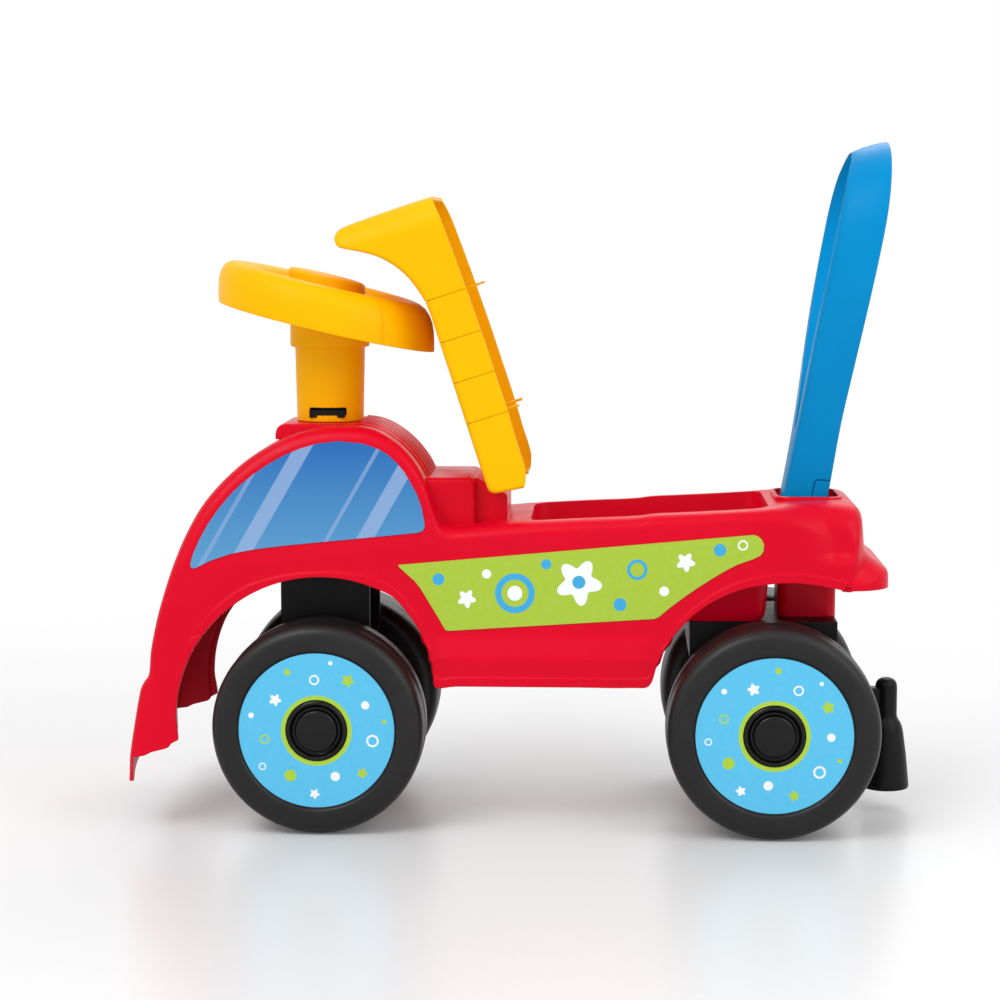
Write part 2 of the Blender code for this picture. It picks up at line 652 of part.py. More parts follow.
def axle(name, face_y, paint):
    end = face_y - AXLE_END_DEPTH
    bevel = 0.8 * MM
    profile = ((0, -end), (AXLE_RADIUS - bevel, -end), (AXLE_RADIUS, -end + bevel), (AXLE_RADIUS, end - bevel),
               (AXLE_RADIUS - bevel, end), (0, end))
    return spun(name, profile, AXIS_Y, 12, paint)


def axle_nut(name, side, paint):
    """A push-on cap ring that keeps the wheel on the axle, down in the hub recess."""
    floor = HUB_RECESS_DEPTH - TOUCH_GAP
    bore = AXLE_RADIUS + RUN_GAP
    profile = ((bore, floor), (8.5 * MM, floor), (8.5 * MM, floor - 1 * MM), (6.4 * MM, floor - 4 * MM),
               (bore, floor - 4 * MM))
    return spun(name, profile, AXIS_Y * -side, 8, paint)


def hub_cap(name, side, paint):
    """The cap pressed into the hub: a rim, a groove and a plain raised disc."""
    rim = HUB_RECESS_RADIUS - TOUCH_GAP
    disc = HUB_DISC_RADIUS
    profile = ((0, -1.2 * MM), (disc - 1.2 * MM, -1.2 * MM), (disc, 0), (disc + 0.8 * MM, 2.4 * MM),
               (rim - 3 * MM, 2.4 * MM), (rim - 2 * MM, 0.2 * MM), (rim, 0.6 * MM),
               (rim, 8.6 * MM), (rim - 2 * MM, 8.6 * MM), (rim - 2 * MM, 4.6 * MM), (0, 4.6 * MM))
    return spun(name, profile, AXIS_Y * -side, 16, paint)


def wheel_sticker(name, side, paint):
    back = DECAL_FACE_DEPTH - TOUCH_GAP
    inner = HUB_RECESS_RADIUS + 0.3 * MM
    profile = ((inner, back), (DECAL_RADIUS, back), (DECAL_RADIUS, back - STICKER_THICKNESS),
               (inner, back - STICKER_THICKNESS))
    return spun(name, profile, AXIS_Y * -side, WHEEL_SIDES, paint)


# Steering

def steering_fork(paint):
    """The block under the hood: a crown with two cheeks down to the axle, and the stem up into the column."""
    side = [(FORK_FOOT_HALF, AXLE_Z - FORK_FOOT_DROP), (FORK_FOOT_HALF + 2 * MM, AXLE_Z + 17 * MM),
            (FORK_HALF_LENGTH, FORK_TOP_Z - FORK_CROWN_HEIGHT), (FORK_HALF_LENGTH, FORK_TOP_Z)]
    outer = [(-x, z) for x, z in reversed(side)] + side
    block = prism("steering_fork", outer, -FORK_HALF_WIDTH, FORK_HALF_WIDTH, paint)
    inner = FORK_HALF_WIDTH - FORK_WALL
    gap = box("fork_gap", (-0.06, -inner, 0.02), (0.06, inner, FORK_TOP_Z - 16 * MM))
    root = FORK_TOP_Z - 10 * MM
    profile = ((0, root), (STEM_RADIUS, root), (STEM_RADIUS, STEM_TOP_Z - 2 * MM),
               (STEM_RADIUS - 2 * MM, STEM_TOP_Z), (STEM_RADIUS - 4 * MM, STEM_TOP_Z),
               (STEM_RADIUS - 4 * MM, FORK_TOP_Z + 4 * MM), (0, FORK_TOP_Z + 4 * MM))
    stem = spun("stem", profile, AXIS_Z, 24)
    lug = box("snap_lug", (-SLOT_HALF + 0.6 * MM, -COLUMN_FOOT_RADIUS + 0.5 * MM, SLOT_LOW_Z + 0.6 * MM),
              (SLOT_HALF - 0.6 * MM, -STEM_RADIUS + 5 * MM, SLOT_HIGH_Z - 0.6 * MM))
    bore = rod("fork_bore", AXIS_Y, AXLE_RADIUS + RUN_GAP, -0.06, 0.06, 16, None, (0, 0, AXLE_Z))
    cut(block, gap)
    join(block, stem, lug)
    return cut(block, bore)


def steering_column(paint):
    """The tube between hood and wheel. Its top follows the wheel's tilt."""
    bore = STEM_RADIUS + RUN_GAP
    top = STEERING_CENTRE[1] + 50 * MM
    profile = ((bore, COLUMN_FOOT_Z), (COLUMN_FOOT_RADIUS, COLUMN_FOOT_Z),
               (COLUMN_TOP_RADIUS, COLLAR_Z - 2 * MM), (COLLAR_RADIUS - 0.8 * MM, COLLAR_Z),
               (COLLAR_RADIUS, COLLAR_Z + 1.2 * MM), (COLLAR_RADIUS, top),
               (0, top), (0, COLUMN_BORE_TOP_Z), (bore, COLUMN_BORE_TOP_Z))
    column = spun("steering_column", profile, AXIS_Z, 24, paint)
    for vertex in column.data.vertices:
        if vertex.co.z > top - MM:
            vertex.co.z = web_height(vertex.co.x, WEB_HEIGHT) - TOUCH_GAP
    slot = box("column_slot", (-SLOT_HALF, -0.04, SLOT_LOW_Z), (SLOT_HALF, -0.01, SLOT_HIGH_Z))
    pilot = rod("hub_pilot", AXIS_Z, SCREW_RADIUS + RUN_GAP, COLUMN_BORE_TOP_Z + 4 * MM, top, 8)
    return cut(column, slot, pilot)


def web_height(x, level):
    """Height at x of a plane inside the tilted wheel, `level` above its lower edge."""
    centre_x, centre_z = STEERING_CENTRE
    return centre_z + level / math.cos(STEERING_TILT) - (x - centre_x) * math.tan(STEERING_TILT)


def tilted(obj):
    """Leans a turned solid back by the wheel's tilt and sets it at the wheel's centre."""
    place = Matrix.Translation((STEERING_CENTRE[0], 0, STEERING_CENTRE[1]))
    obj.data.transform(place @ Matrix.Rotation(STEERING_TILT, 4, "Y"))
    return obj


def steering_wheel(paint):
    """The dished wheel: deep rim, recessed web with an opening towards the nose, and a stepped hub."""
    edge = STEERING_RADIUS
    hub = STEERING_HUB_RADIUS
    web = WEB_HEIGHT
    outside = ((0, HUB_FACE_HEIGHT), (hub, HUB_FACE_HEIGHT - 0.8 * MM), (hub + 0.6 * MM, web + 3 * MM),
               (edge - 24.9 * MM, web + 3 * MM), (edge - 22.9 * MM, web + 6.7 * MM),
               (edge - 17.9 * MM, web + 9.9 * MM), (edge - 10.9 * MM, web + 10.8 * MM),
               (edge - 4.2 * MM, web + 8 * MM), (edge - 1 * MM, web + 1.5 * MM), (edge, 10 * MM),
               (edge - 0.3 * MM, 0))
    inside = ((edge - 3.2 * MM, 0), (edge - 3 * MM, 10 * MM), (edge - 4.2 * MM, web + 0.5 * MM),
              (edge - 7.5 * MM, web + 5.8 * MM), (edge - 17.4 * MM, web + 6.9 * MM),
              (edge - 23.9 * MM, web), (0, web))
    rim = tilted(spun("steering_wheel", outside + inside, AXIS_Z, 28, paint))
    turn = [math.radians(lerp(125, 235, step / 9)) for step in range(10)]
    ring = [((edge - 26.4 * MM) * math.cos(a), (edge - 26.4 * MM) * math.sin(a)) for a in turn]
    ring += [((hub + 2.5 * MM) * math.cos(a), (hub + 2.5 * MM) * math.sin(a)) for a in reversed(turn)]
    through = (web - 8 * MM, web + 12 * MM)
    window = tilted(loft("wheel_window", [[(x, y, z) for x, y in ring] for z in through]))
    hole = rod("hub_hole", AXIS_Z, SCREW_RADIUS + 2 * RUN_GAP, COLLAR_Z, STEERING_CENTRE[1] + 50 * MM, 8)
    return cut(rim, window, hole)


def hub_cover(paint):
    base = HUB_FACE_HEIGHT + TOUCH_GAP
    edge = HUB_COVER_RADIUS
    profile = ((0, base), (edge, base), (edge, base + 2.6 * MM), (edge - 1.5 * MM, base + 4.4 * MM),
               (0, base + 5 * MM))
    return tilted(spun("steering_hub_cover", profile, AXIS_Z, 24, paint))


def hub_screw(paint):
    """The screw under the hub cover that holds the wheel on the column."""
    tip = COLUMN_BORE_TOP_Z + 6 * MM
    head = web_height(0, HUB_FACE_HEIGHT) - 0.6 * MM
    profile = ((0, tip), (SCREW_RADIUS, tip), (SCREW_RADIUS, head), (0, head))
    return spun("steering_screw", profile, AXIS_Z, 8, paint)


# Seat lid

def lid_sections():
    """Sections of the open lid in its own frame: x along the seat from the hinge pin, z up when closed."""
    rows = (
        (-5.2, 24, -1.5, 26.6, 3), (-4.0, 13, 6, 29.4, 4), (-2.6, 4, 13, 30.2, 4), (0.4, 0.9, 21, 30.2, 4),
        (5, 0.4, 29, 30.2, 4), (29, 0.5, 42, 30.8, 4), (54, 0.5, 58, 31.2, 4), (80, 0.5, 80, 31.2, 4),
        (110, 0.5, 108, 31.4, 4), (140.5, 0.5, 134, 31, 4), (154.8, -3.4, 148, 30.5, 4),
        (168.4, -9.3, 160, 30, 4), (181.2, -20.6, 170, 29.6, 4), (188.5, -33, 178, 29.2, 4),
        (194.3, -44.2, 183.5, 29, 4), (196.6, -47.4, 187, 28.8, 4), (199.8, -48.6, 190, 28.6, 4),
        (203.8, -48.2, 193, 28.4, 4), (207.2, -45.8, 195.5, 28.2, 4), (208.8, -40, 197.5, 28, 4),
        (209.5, -26, 199.5, 27.8, 4), (210.2, 0, 201.5, 27.5, 4), (210.2, 18, 203, 27.3, 4),
        (209.8, 27, 204, 27.1, 4))
    placed = []
    for u, v, rim_u, rim_v, radius in rows:
        placed.append((lid_point(u, v), lid_point(rim_u, rim_v), radius * MM))
    return placed


def lid_point(u, v):
    """Lid coordinates: u along the seat from its front corner and v down, the hinge pin at (7, 5)."""
    return ((u - 7) * MM, (5 - v) * MM)


def lid_half_width(x, z):
    return LID_HALF_WIDTH + 0.03 * (5 * MM - z)


def seat_lid(paint):
    """The seat: a thin moulding with a turned-up back edge, ribs, two tabs and its hinge ears."""
    lid = thicken(skin("seat_lid", lid_sections(), lid_half_width, (), 2, paint), LID_WALL)
    helpers = []
    for index, u in enumerate((50, 80, 110, 141)):
        reach = LID_HALF_WIDTH - 1.5 * MM
        low = lid_point(u - 1, 9)
        high = lid_point(u + 1, 1.6)
        helpers.append(box(f"lid_rib_{index}", (low[0], -reach, low[1]), (high[0], reach, high[1])))
    for index, u in enumerate((50, 141)):
        for side in (-1, 1):
            tab = ((u - 1, 1.6), (u + 1, 1.6), (u + 0.8, 37.5), (u - 0.8, 37.5))
            outline = [lid_point(*point) for point in tab]
            middle = side * 35 * MM
            helpers.append(prism(f"lid_tab_{index}{side}", outline, middle - 5 * MM, middle + 5 * MM))
    ear_rows = ((-4.2, 1.5), (18, 1.5), (13.5, 9), (9.5, 11), (3.5, 10.5), (-4.2, 7.5))
    ear = [lid_point(*point) for point in ear_rows]
    pins = []
    for side in (-1, 1):
        low, high = sorted((side * EAR_INNER_Y, side * EAR_OUTER_Y))
        helpers.append(prism(f"lid_ear{side}", ear, low, high))
        tip, root = sorted((side * (LUG_INNER_Y + 1.5 * MM), side * (EAR_OUTER_Y - 1 * MM)))
        pins.append(rod(f"lid_pin{side}", AXIS_Y, HINGE_PIN_RADIUS, tip, root, 12))
    low = lid_point(-12, 28)
    high = lid_point(16, -6)
    notch = box("lid_notch", (low[0], -EAR_INNER_Y, low[1]), (high[0], EAR_INNER_Y, high[1]))
    join(lid, *helpers)
    cut(lid, notch)
    join(lid, *pins)
    return [lid, notch, *helpers, *pins]


# Backrest handle

def handle_outline(radius, top_w, foot_half):
    """Half-loop points in the handle's plane, from the foot up one side and down the other."""
    centre = top_w - radius
    start = Vector((foot_half, 0))
    pulls = (start, Vector((foot_half, 62 * MM)), Vector((radius, centre - 66 * MM)),
             Vector((radius, centre - 6 * MM)))
    half = [bezier(pulls, step / 7) for step in range(8)]
    for step in range(1, 6):
        angle = math.radians(18 * step - 4)
        half.append(Vector((radius * math.cos(angle), centre + radius * math.sin(angle))))
    half = [(p.x, p.y) for p in half if p.x > 0.5 * MM]
    return half + [(-y, w) for y, w in reversed(half)]


def handle_place(y, w, depth):
    """From the handle's leaning plane to the car: w up the plane, depth back from the front face."""
    base_x = SOCKET_X - SOCKET_HALF_LENGTH + 1.6 * MM
    base_z = SOCKET_RIM_Z + 2.5 * MM
    x = base_x + w * math.sin(HANDLE_TILT) + depth * math.cos(HANDLE_TILT)
    return (x, y, base_z + w * math.cos(HANDLE_TILT) - depth * math.sin(HANDLE_TILT))


def backrest_handle(paint):
    """The push handle and backrest: a leaning loop on a stem that plugs into the socket."""
    length = (HANDLE_TOP_Z - SOCKET_RIM_Z) / math.cos(HANDLE_TILT) + 3.2 * MM
    radius = HANDLE_LOOP_RADIUS
    rear = [handle_place(y, w, HANDLE_DEPTH) for y, w in handle_outline(radius, length, 20.4 * MM)]
    front = [handle_place(y, w, 0) for y, w in handle_outline(radius - 6 * MM, length - 10 * MM, 20.4 * MM)]
    handle = loft("backrest_handle", [front, rear], paint)
    inner = handle_opening(radius, length)
    opening = loft("handle_opening", [[handle_place(y, w, d) for y, w in inner] for d in (-0.01, 0.04)])
    plug_half = SOCKET_HALF_LENGTH - 0.8 * MM
    plug = [rounded_ring(plug_half, SOCKET_HALF_WIDTH - 0.6 * MM, 3.4 * MM, SOCKET_X, z)
            for z in (WELL_FLOOR_Z + 6 * MM, SOCKET_RIM_Z + 3 * MM)]
    collar = [rounded_ring(SOCKET_HALF_LENGTH + 2 * MM, SOCKET_HALF_WIDTH + 4 * MM, 5 * MM, SOCKET_X, z)
              for z in (SOCKET_RIM_Z + TOUCH_GAP, SOCKET_RIM_Z + 4 * MM)]
    cut(handle, opening)
    edge = handle.modifiers.new("edge", "BEVEL")
    edge.width = 2.2 * MM
    edge.segments = 2
    edge.limit_method = "ANGLE"
    edge.angle_limit = math.radians(50)
    join(handle, loft("handle_plug", plug), loft("handle_collar", collar))
    return handle


def handle_opening(radius, length):
    """The teardrop opening inside the loop."""
    inner = radius - HANDLE_BAND
    centre = length - radius
    half = [Vector((0, 44 * MM)), Vector((5 * MM, 46.5 * MM)), Vector((8.5 * MM, 52 * MM))]
    pulls = (half[-1], Vector((14 * MM, 92 * MM)), Vector((inner, centre - 58 * MM)),
             Vector((inner, centre - 4 * MM)))
    half += [bezier(pulls, step / 6) for step in range(1, 7)]
    for step in range(1, 6):
        angle = math.radians(18 * step)
        half.append(Vector((inner * math.cos(angle), centre + inner * math.sin(angle))))
    right = [(p.x, p.y) for p in half]
    left = [(-y, w) for y, w in reversed(right) if y > 0.5 * MM]
    return right[:-1] + [(0, centre + inner)] + left


# Rear carrier and foot

def rear_carrier(paint):
    """The axle carrier under the well: a box open below, cheeks down to the axle, rear wall for the foot."""
    front = REAR_X - CARRIER_FRONT
    rear = REAR_X + CARRIER_REAR
    top = CARRIER_TOP_Z
    low = AXLE_Z - CHEEK_DROP
    cheek = CHEEK_HALF_LENGTH
    outline = [(front, top), (front, top - CARRIER_FRONT_HEIGHT), (REAR_X - cheek, low + 8 * MM),
               (REAR_X - cheek + 4 * MM, low), (REAR_X + cheek - 4 * MM, low), (REAR_X + cheek, low + 8 * MM),
               (rear, FOOT_PLATE_Z - FOOT_PLATE_HALF_HEIGHT - 1.3 * MM), (rear, top)]
    carrier = prism("rear_axle_carrier", outline, -CARRIER_HALF_WIDTH, CARRIER_HALF_WIDTH, paint)
    wall = CARRIER_WALL
    inside = box("carrier_inside", (front + wall, -CARRIER_HALF_WIDTH + wall, 0.03),
                 (rear - wall, CARRIER_HALF_WIDTH - wall, top - wall))
    bore = rod("carrier_bore", AXIS_Y, AXLE_RADIUS + RUN_GAP, -0.06, 0.06, 16, None, (REAR_X, 0, AXLE_Z))
    cut(carrier, inside)
    bosses = [rod(f"foot_boss_{i}", AXIS_X, 4.5 * MM, rear - 14 * MM, rear - 1 * MM, 8, None,
                  (0, y, FOOT_PLATE_Z)) for i, y in enumerate((-FOOT_SCREW_Y, FOOT_SCREW_Y))]
    join(carrier, *bosses)
    hole = SCREW_RADIUS + SCREW_HOLE_GAP
    holes = [rod(f"carrier_hole_{i}", AXIS_Z, hole, top - 9 * MM, top + 9 * MM, 8, None, (x, y, 0))
             for i, (x, y) in enumerate(carrier_screw_places())]
    pilots = [rod(f"foot_pilot_{i}", AXIS_X, SCREW_RADIUS + PILOT_GAP, rear - 12 * MM, rear + 5 * MM, 8, None,
                  (0, y, FOOT_PLATE_Z)) for i, y in enumerate((-FOOT_SCREW_Y, FOOT_SCREW_Y))]
    return cut(carrier, bore, *holes, *pilots)


def stability_foot(paint):
    """The anti-tip foot behind the rear wheels: a peg on a cone, on an arm from the carrier."""
    low = FOOT_LOW_Z
    wide = FOOT_RADIUS
    peg = FOOT_PEG_RADIUS
    top = FOOT_TOP_Z
    profile = ((0, low), (wide - 0.8 * MM, low), (wide, low + 1.1 * MM), (wide - 2.4 * MM, low + 26.5 * MM),
               (wide - 4.9 * MM, low + 43.5 * MM), (peg + 2.5 * MM, low + 49.5 * MM), (peg, low + 53 * MM),
               (peg, top - 6.4 * MM), (peg - 1.6 * MM, top - 2.4 * MM), (peg - 4.6 * MM, top - 0.4 * MM),
               (0, top))
    foot = spun("stability_foot", profile, AXIS_Z, 20, paint, (FOOT_X, 0, 0))
    plate_x = FOOT_PLATE_X
    half_y = FOOT_PLATE_HALF_WIDTH
    half_z = FOOT_PLATE_HALF_HEIGHT
    plate = box("foot_plate", (plate_x, -half_y, FOOT_PLATE_Z - half_z),
                (plate_x + FOOT_PLATE_THICKNESS, half_y, FOOT_PLATE_Z + half_z))
    arm = box("foot_arm", (plate_x + 1 * MM, -6 * MM, FOOT_PLATE_Z - 2 * half_z),
              (FOOT_X, 6 * MM, FOOT_PLATE_Z - 2 * MM))
    join(foot, plate, arm)
    holes = [rod(f"foot_hole_{i}", AXIS_X, SCREW_RADIUS + SCREW_HOLE_GAP, plate_x - 5 * MM, plate_x + 9 * MM, 8,
                 None, (0, y, FOOT_PLATE_Z)) for i, y in enumerate((-FOOT_SCREW_Y, FOOT_SCREW_Y))]
    return cut(foot, *holes)


def screw(name, axis, head_at, reach, paint, centre):
    """A pan-head screw. The head's seat is at head_at and the shank goes `reach` along the axis."""
    head = SCREW_HEAD_RADIUS
    top = head_at - 2.4 * MM
    profile = ((0, top), (head - 1 * MM, top), (head, head_at - 1 * MM), (head, head_at),
               (SCREW_RADIUS, head_at), (SCREW_RADIUS, head_at + reach - 1 * MM), (0, head_at + reach))
    return spun(name, profile, axis, 8, paint, centre)


# The whole car

def place(objects, x=0.0, y=0.0, z=0.0):
    for obj in objects:
        obj.location = (x + CAR_X, y, z)


def build_wheels(paints):
    for end, axle_x, face_y in (("front", 0.0, FRONT_FACE_Y), ("rear", REAR_X, REAR_FACE_Y)):
        place([axle(end + "_axle", face_y, paints["steel"])], axle_x, 0, AXLE_Z)
        for hand, side in (("left", -1), ("right", 1)):
            objects, outer = wheel(f"wheel_{end}_{hand}", side, paints["black"])
            objects.append(wheel_sticker(f"wheel_sticker_{end}_{hand}", side, paints["wheel print"]))
            objects.append(hub_cap(f"hub_cap_{end}_{hand}", side, paints["black"]))
            objects.append(axle_nut(f"axle_nut_{end}_{hand}", side, paints["steel"]))
            place(objects, axle_x, outer, AXLE_Z)


def build_body(paints):
    body_shell(paints["red"])
    for hand, side in (("left", -1), ("right", 1)):
        side_sticker("window_sticker_" + hand, WINDOW_OUTLINE, side, paints["window print"])
        stripe = STRIPE_FRONT + [(REAR_X + x, z) for x, z in STRIPE_REAR]
        side_sticker("side_sticker_" + hand, stripe, side, paints["green print"])
    rear_carrier(paints["black"])
    stability_foot(paints["black"])
    backrest_handle(paints["blue"])
    head_z = CARRIER_TOP_Z - CARRIER_WALL - TOUCH_GAP
    for i, (x, y) in enumerate(carrier_screw_places()):
        screw(f"carrier_screw_{i + 1}", AXIS_Z, head_z, 13.5 * MM, paints["steel"], (x, y, 0))
    seat_x = FOOT_PLATE_X + FOOT_PLATE_THICKNESS + TOUCH_GAP
    for i, y in enumerate((-FOOT_SCREW_Y, FOOT_SCREW_Y)):
        screw(f"foot_screw_{i + 1}", -AXIS_X, -seat_x, 14 * MM, paints["steel"], (0, y, FOOT_PLATE_Z))


def build_steering(paints):
    steering_fork(paints["black"])
    steering_column(paints["yellow"])
    steering_wheel(paints["yellow"])
    hub_cover(paints["yellow"])
    hub_screw(paints["steel"])


def build_lid(paints):
    for obj in seat_lid(paints["yellow"]):
        obj.location = (HINGE_X + CAR_X, 0, HINGE_Z)
        obj.rotation_euler = (0, -LID_OPEN_ANGLE, 0)


def paints():
    return {
        "red": material("red plastic", srgb(226, 8, 40), 0.35),
        "yellow": material("yellow plastic", srgb(255, 196, 0), 0.4),
        "blue": material("blue plastic", srgb(0, 140, 208), 0.38),
        "black": material("black plastic", srgb(34, 31, 32), 0.5),
        "steel": material("zinc-plated steel", srgb(178, 180, 184), 0.35, 1.0),
        "wheel print": material("wheel sticker print", srgb(91, 197, 240), 0.3),
        "green print": material("side sticker print", srgb(166, 206, 57), 0.3),
        "window print": material("window sticker print", srgb(84, 146, 196), 0.25),
    }


def main():
    for obj in list(bpy.data.objects):
        bpy.data.objects.remove(obj, do_unlink=True)
    colours = paints()
    build_body(colours)
    build_steering(colours)
    for obj in bpy.data.objects:
        obj.location.x = CAR_X
    build_wheels(colours)
    build_lid(colours)


main()
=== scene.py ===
"""Looks of the foot-to-floor ride-on car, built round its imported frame.

The red body is one moulded shell with printed films on its sides. Lid, steering wheel and column are yellow,
the push handle is blue and the rolling gear is black. Sizes are in millimetres, measured back from the front
axle, across from the middle plane and up from the floor. Finished meshes are in metres in the car's frame.
"""

from __future__ import annotations

import json
import logging
import math
from dataclasses import dataclass
from enum import Enum
from typing import Any, Callable, Sequence

import bpy
import numpy as np
from mathutils import Matrix, Vector

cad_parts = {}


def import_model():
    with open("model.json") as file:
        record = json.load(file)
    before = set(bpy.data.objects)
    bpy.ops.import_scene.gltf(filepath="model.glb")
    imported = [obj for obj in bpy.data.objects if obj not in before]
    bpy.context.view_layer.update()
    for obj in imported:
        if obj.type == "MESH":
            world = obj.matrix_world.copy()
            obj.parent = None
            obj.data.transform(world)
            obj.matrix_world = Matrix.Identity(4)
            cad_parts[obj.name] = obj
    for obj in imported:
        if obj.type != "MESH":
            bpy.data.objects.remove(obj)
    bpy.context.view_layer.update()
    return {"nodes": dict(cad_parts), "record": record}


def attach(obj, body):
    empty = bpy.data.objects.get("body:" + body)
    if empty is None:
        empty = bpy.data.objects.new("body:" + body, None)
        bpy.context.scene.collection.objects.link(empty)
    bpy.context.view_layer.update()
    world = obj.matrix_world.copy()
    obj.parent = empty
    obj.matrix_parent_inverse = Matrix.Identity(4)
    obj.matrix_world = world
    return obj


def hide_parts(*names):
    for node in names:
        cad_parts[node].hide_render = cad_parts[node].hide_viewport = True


LOG = logging.getLogger("ride_on_car")
MM = 0.001
FRONT_AXLE_X = -144.9
WELD = 2e-6
SHEET_WELD = 3e-6
PRINT_EDGE = 0.12
FILM_SPAN = 120.0
ORIGIN = Vector((0.0, 0.0, 0.0))
AXIS_X = Vector((1.0, 0.0, 0.0))
AXIS_Y = Vector((0.0, 1.0, 0.0))
AXIS_Z = Vector((0.0, 0.0, 1.0))

Pair = tuple[float, float]
Colour = tuple[float, float, float, float]


class Side(Enum):
    """The two sides of the car, with the sign of Y on each."""

    LEFT = -1
    RIGHT = 1


class Axle(Enum):
    """The two axles, with the place of each behind the front one and the reach of its wheels."""

    FRONT = (0.0, 106.0)
    REAR = (319.2, 112.5)


def car(x: float, y: float, z: float) -> Vector:
    """Turn millimetres from the front axle into metres in the car's frame."""
    return Vector(((x + FRONT_AXLE_X) * MM, y * MM, z * MM))


def srgb(red: int, green: int, blue: int) -> Colour:
    """Turn a display colour, from 0 to 255, into a linear one.

    Args:
        red: Its red.
        green: Its green.
        blue: Its blue.

    Returns:
        The colour as red, green, blue and alpha.
    """
    linear = []
    for value in (red, green, blue):
        share = value / 255
        linear.append(share / 12.92 if share <= 0.04045 else ((share + 0.055) / 1.055) ** 2.4)
    return (linear[0], linear[1], linear[2], 1.0)


def lerp(first: float, second: float, share: float) -> float:
    """Give the value at a share of the way from the first to the second."""
    return first + (second - first) * share


def ease(value: float, low: float, high: float) -> float:
    """Rise smoothly from 0 at low to 1 at high."""
    share = min(max((value - low) / (high - low), 0.0), 1.0)
    return share * share * (3 - 2 * share)


def along(points: Sequence[Pair], x: float) -> float:
    """Read a polyline of (x, value) points at x.

    Args:
        points: The polyline, in the order of x.
        x: Where it is read.

    Returns:
        The value there, level past both ends.
    """
    if x <= points[0][0]:
        return points[0][1]
    for (x0, v0), (x1, v1) in zip(points, points[1:]):
        if x <= x1:
            return v0 + (v1 - v0) * (x - x0) / (x1 - x0)
    return points[-1][1]


def flowing(rows: Sequence[Sequence[float]], steps: int) -> list[np.ndarray]:
    """Draw a smooth curve through rows of numbers, without overshoot.

    Args:
        rows: The rows, each with the same count of numbers.
        steps: How many rows each gap is divided into.

    Returns:
        The given rows with the new ones between them.
    """
    points = [np.array(row, float) for row in rows]
    points = [2 * points[0] - points[1], *points, 2 * points[-1] - points[-2]]
    drawn = []
    for p0, p1, p2, p3 in zip(points, points[1:], points[2:], points[3:]):
        t0 = 0.0
        t1 = t0 + max(np.linalg.norm(p1 - p0), 1e-6) ** 0.5
        t2 = t1 + max(np.linalg.norm(p2 - p1), 1e-6) ** 0.5
        t3 = t2 + max(np.linalg.norm(p3 - p2), 1e-6) ** 0.5
        for step in range(steps):
            t = lerp(t1, t2, step / steps)
            a1 = (t1 - t) / (t1 - t0) * p0 + (t - t0) / (t1 - t0) * p1
            a2 = (t2 - t) / (t2 - t1) * p1 + (t - t1) / (t2 - t1) * p2
            a3 = (t3 - t) / (t3 - t2) * p2 + (t - t2) / (t3 - t2) * p3
            b1 = (t2 - t) / (t2 - t0) * a1 + (t - t0) / (t2 - t0) * a2
            b2 = (t3 - t) / (t3 - t1) * a2 + (t - t1) / (t3 - t1) * a3
            drawn.append((t2 - t) / (t2 - t1) * b1 + (t - t1) / (t2 - t1) * b2)
    drawn.append(points[-2])
    return drawn


def curve(pulls: Sequence[Pair], steps: int) -> list[Pair]:
    """Draw a Bezier curve by its four pulls, without its first point.

    Args:
        pulls: Its start, its two handles and its end.
        steps: The count of points.

    Returns:
        The points after the first.
    """
    drawn = []
    for step in range(1, steps + 1):
        t = step / steps
        shares = ((1 - t) ** 3, 3 * t * (1 - t) ** 2, 3 * t * t * (1 - t), t ** 3)
        drawn.append((sum(s * p[0] for s, p in zip(shares, pulls)), sum(s * p[1] for s, p in zip(shares, pulls))))
    return drawn


def rounded(outline: Sequence[Pair], radius: float, steps: int = 4) -> list[Pair]:
    """Round the corners of a closed outline.

    Args:
        outline: Its corners in order.
        radius: How far each corner is cut back along its sides.
        steps: The points on each corner.

    Returns:
        The outline with its corners as curves.
    """
    made = []
    count = len(outline)
    for i, corner in enumerate(outline):
        here = Vector(corner)
        before = Vector(outline[i - 1]) - here
        after = Vector(outline[(i + 1) % count]) - here
        start = here + before.normalized() * min(radius, before.length * 0.45)
        end = here + after.normalized() * min(radius, after.length * 0.45)
        for step in range(steps + 1):
            t = step / steps
            point = start * (1 - t) ** 2 + here * 2 * t * (1 - t) + end * t * t
            made.append((point.x, point.y))
    return made


def rectangle(centre_x: float, half_x: float, half_y: float, radius: float, steps: int = 6) -> list[Pair]:
    """Give a rectangle with round corners, seen from above.

    Args:
        centre_x: The x of its middle, whose y is 0.
        half_x: Half of its size along x.
        half_y: Half of its size along y.
        radius: The radius of its corners.
        steps: The steps on each corner.

    Returns:
        Its outline as x and y.
    """
    points = []
    for quarter, (sx, sy) in enumerate(((1, 1), (-1, 1), (-1, -1), (1, -1))):
        for step in range(steps + 1):
            angle = math.radians(90 * (quarter + step / steps))
            points.append((centre_x + sx * (half_x - radius) + radius * math.cos(angle),
                           sy * (half_y - radius) + radius * math.sin(angle)))
    return points


def stacked(rows: Sequence[tuple[float, float, float, float]], x: float) -> list[list[Vector]]:
    """Give rounded rectangles about x at rising heights, from rows of z, half x, half y and radius."""
    return [[car(px, py, z) for px, py in rectangle(x, hx, hy, r)] for z, hx, hy, r in rows]


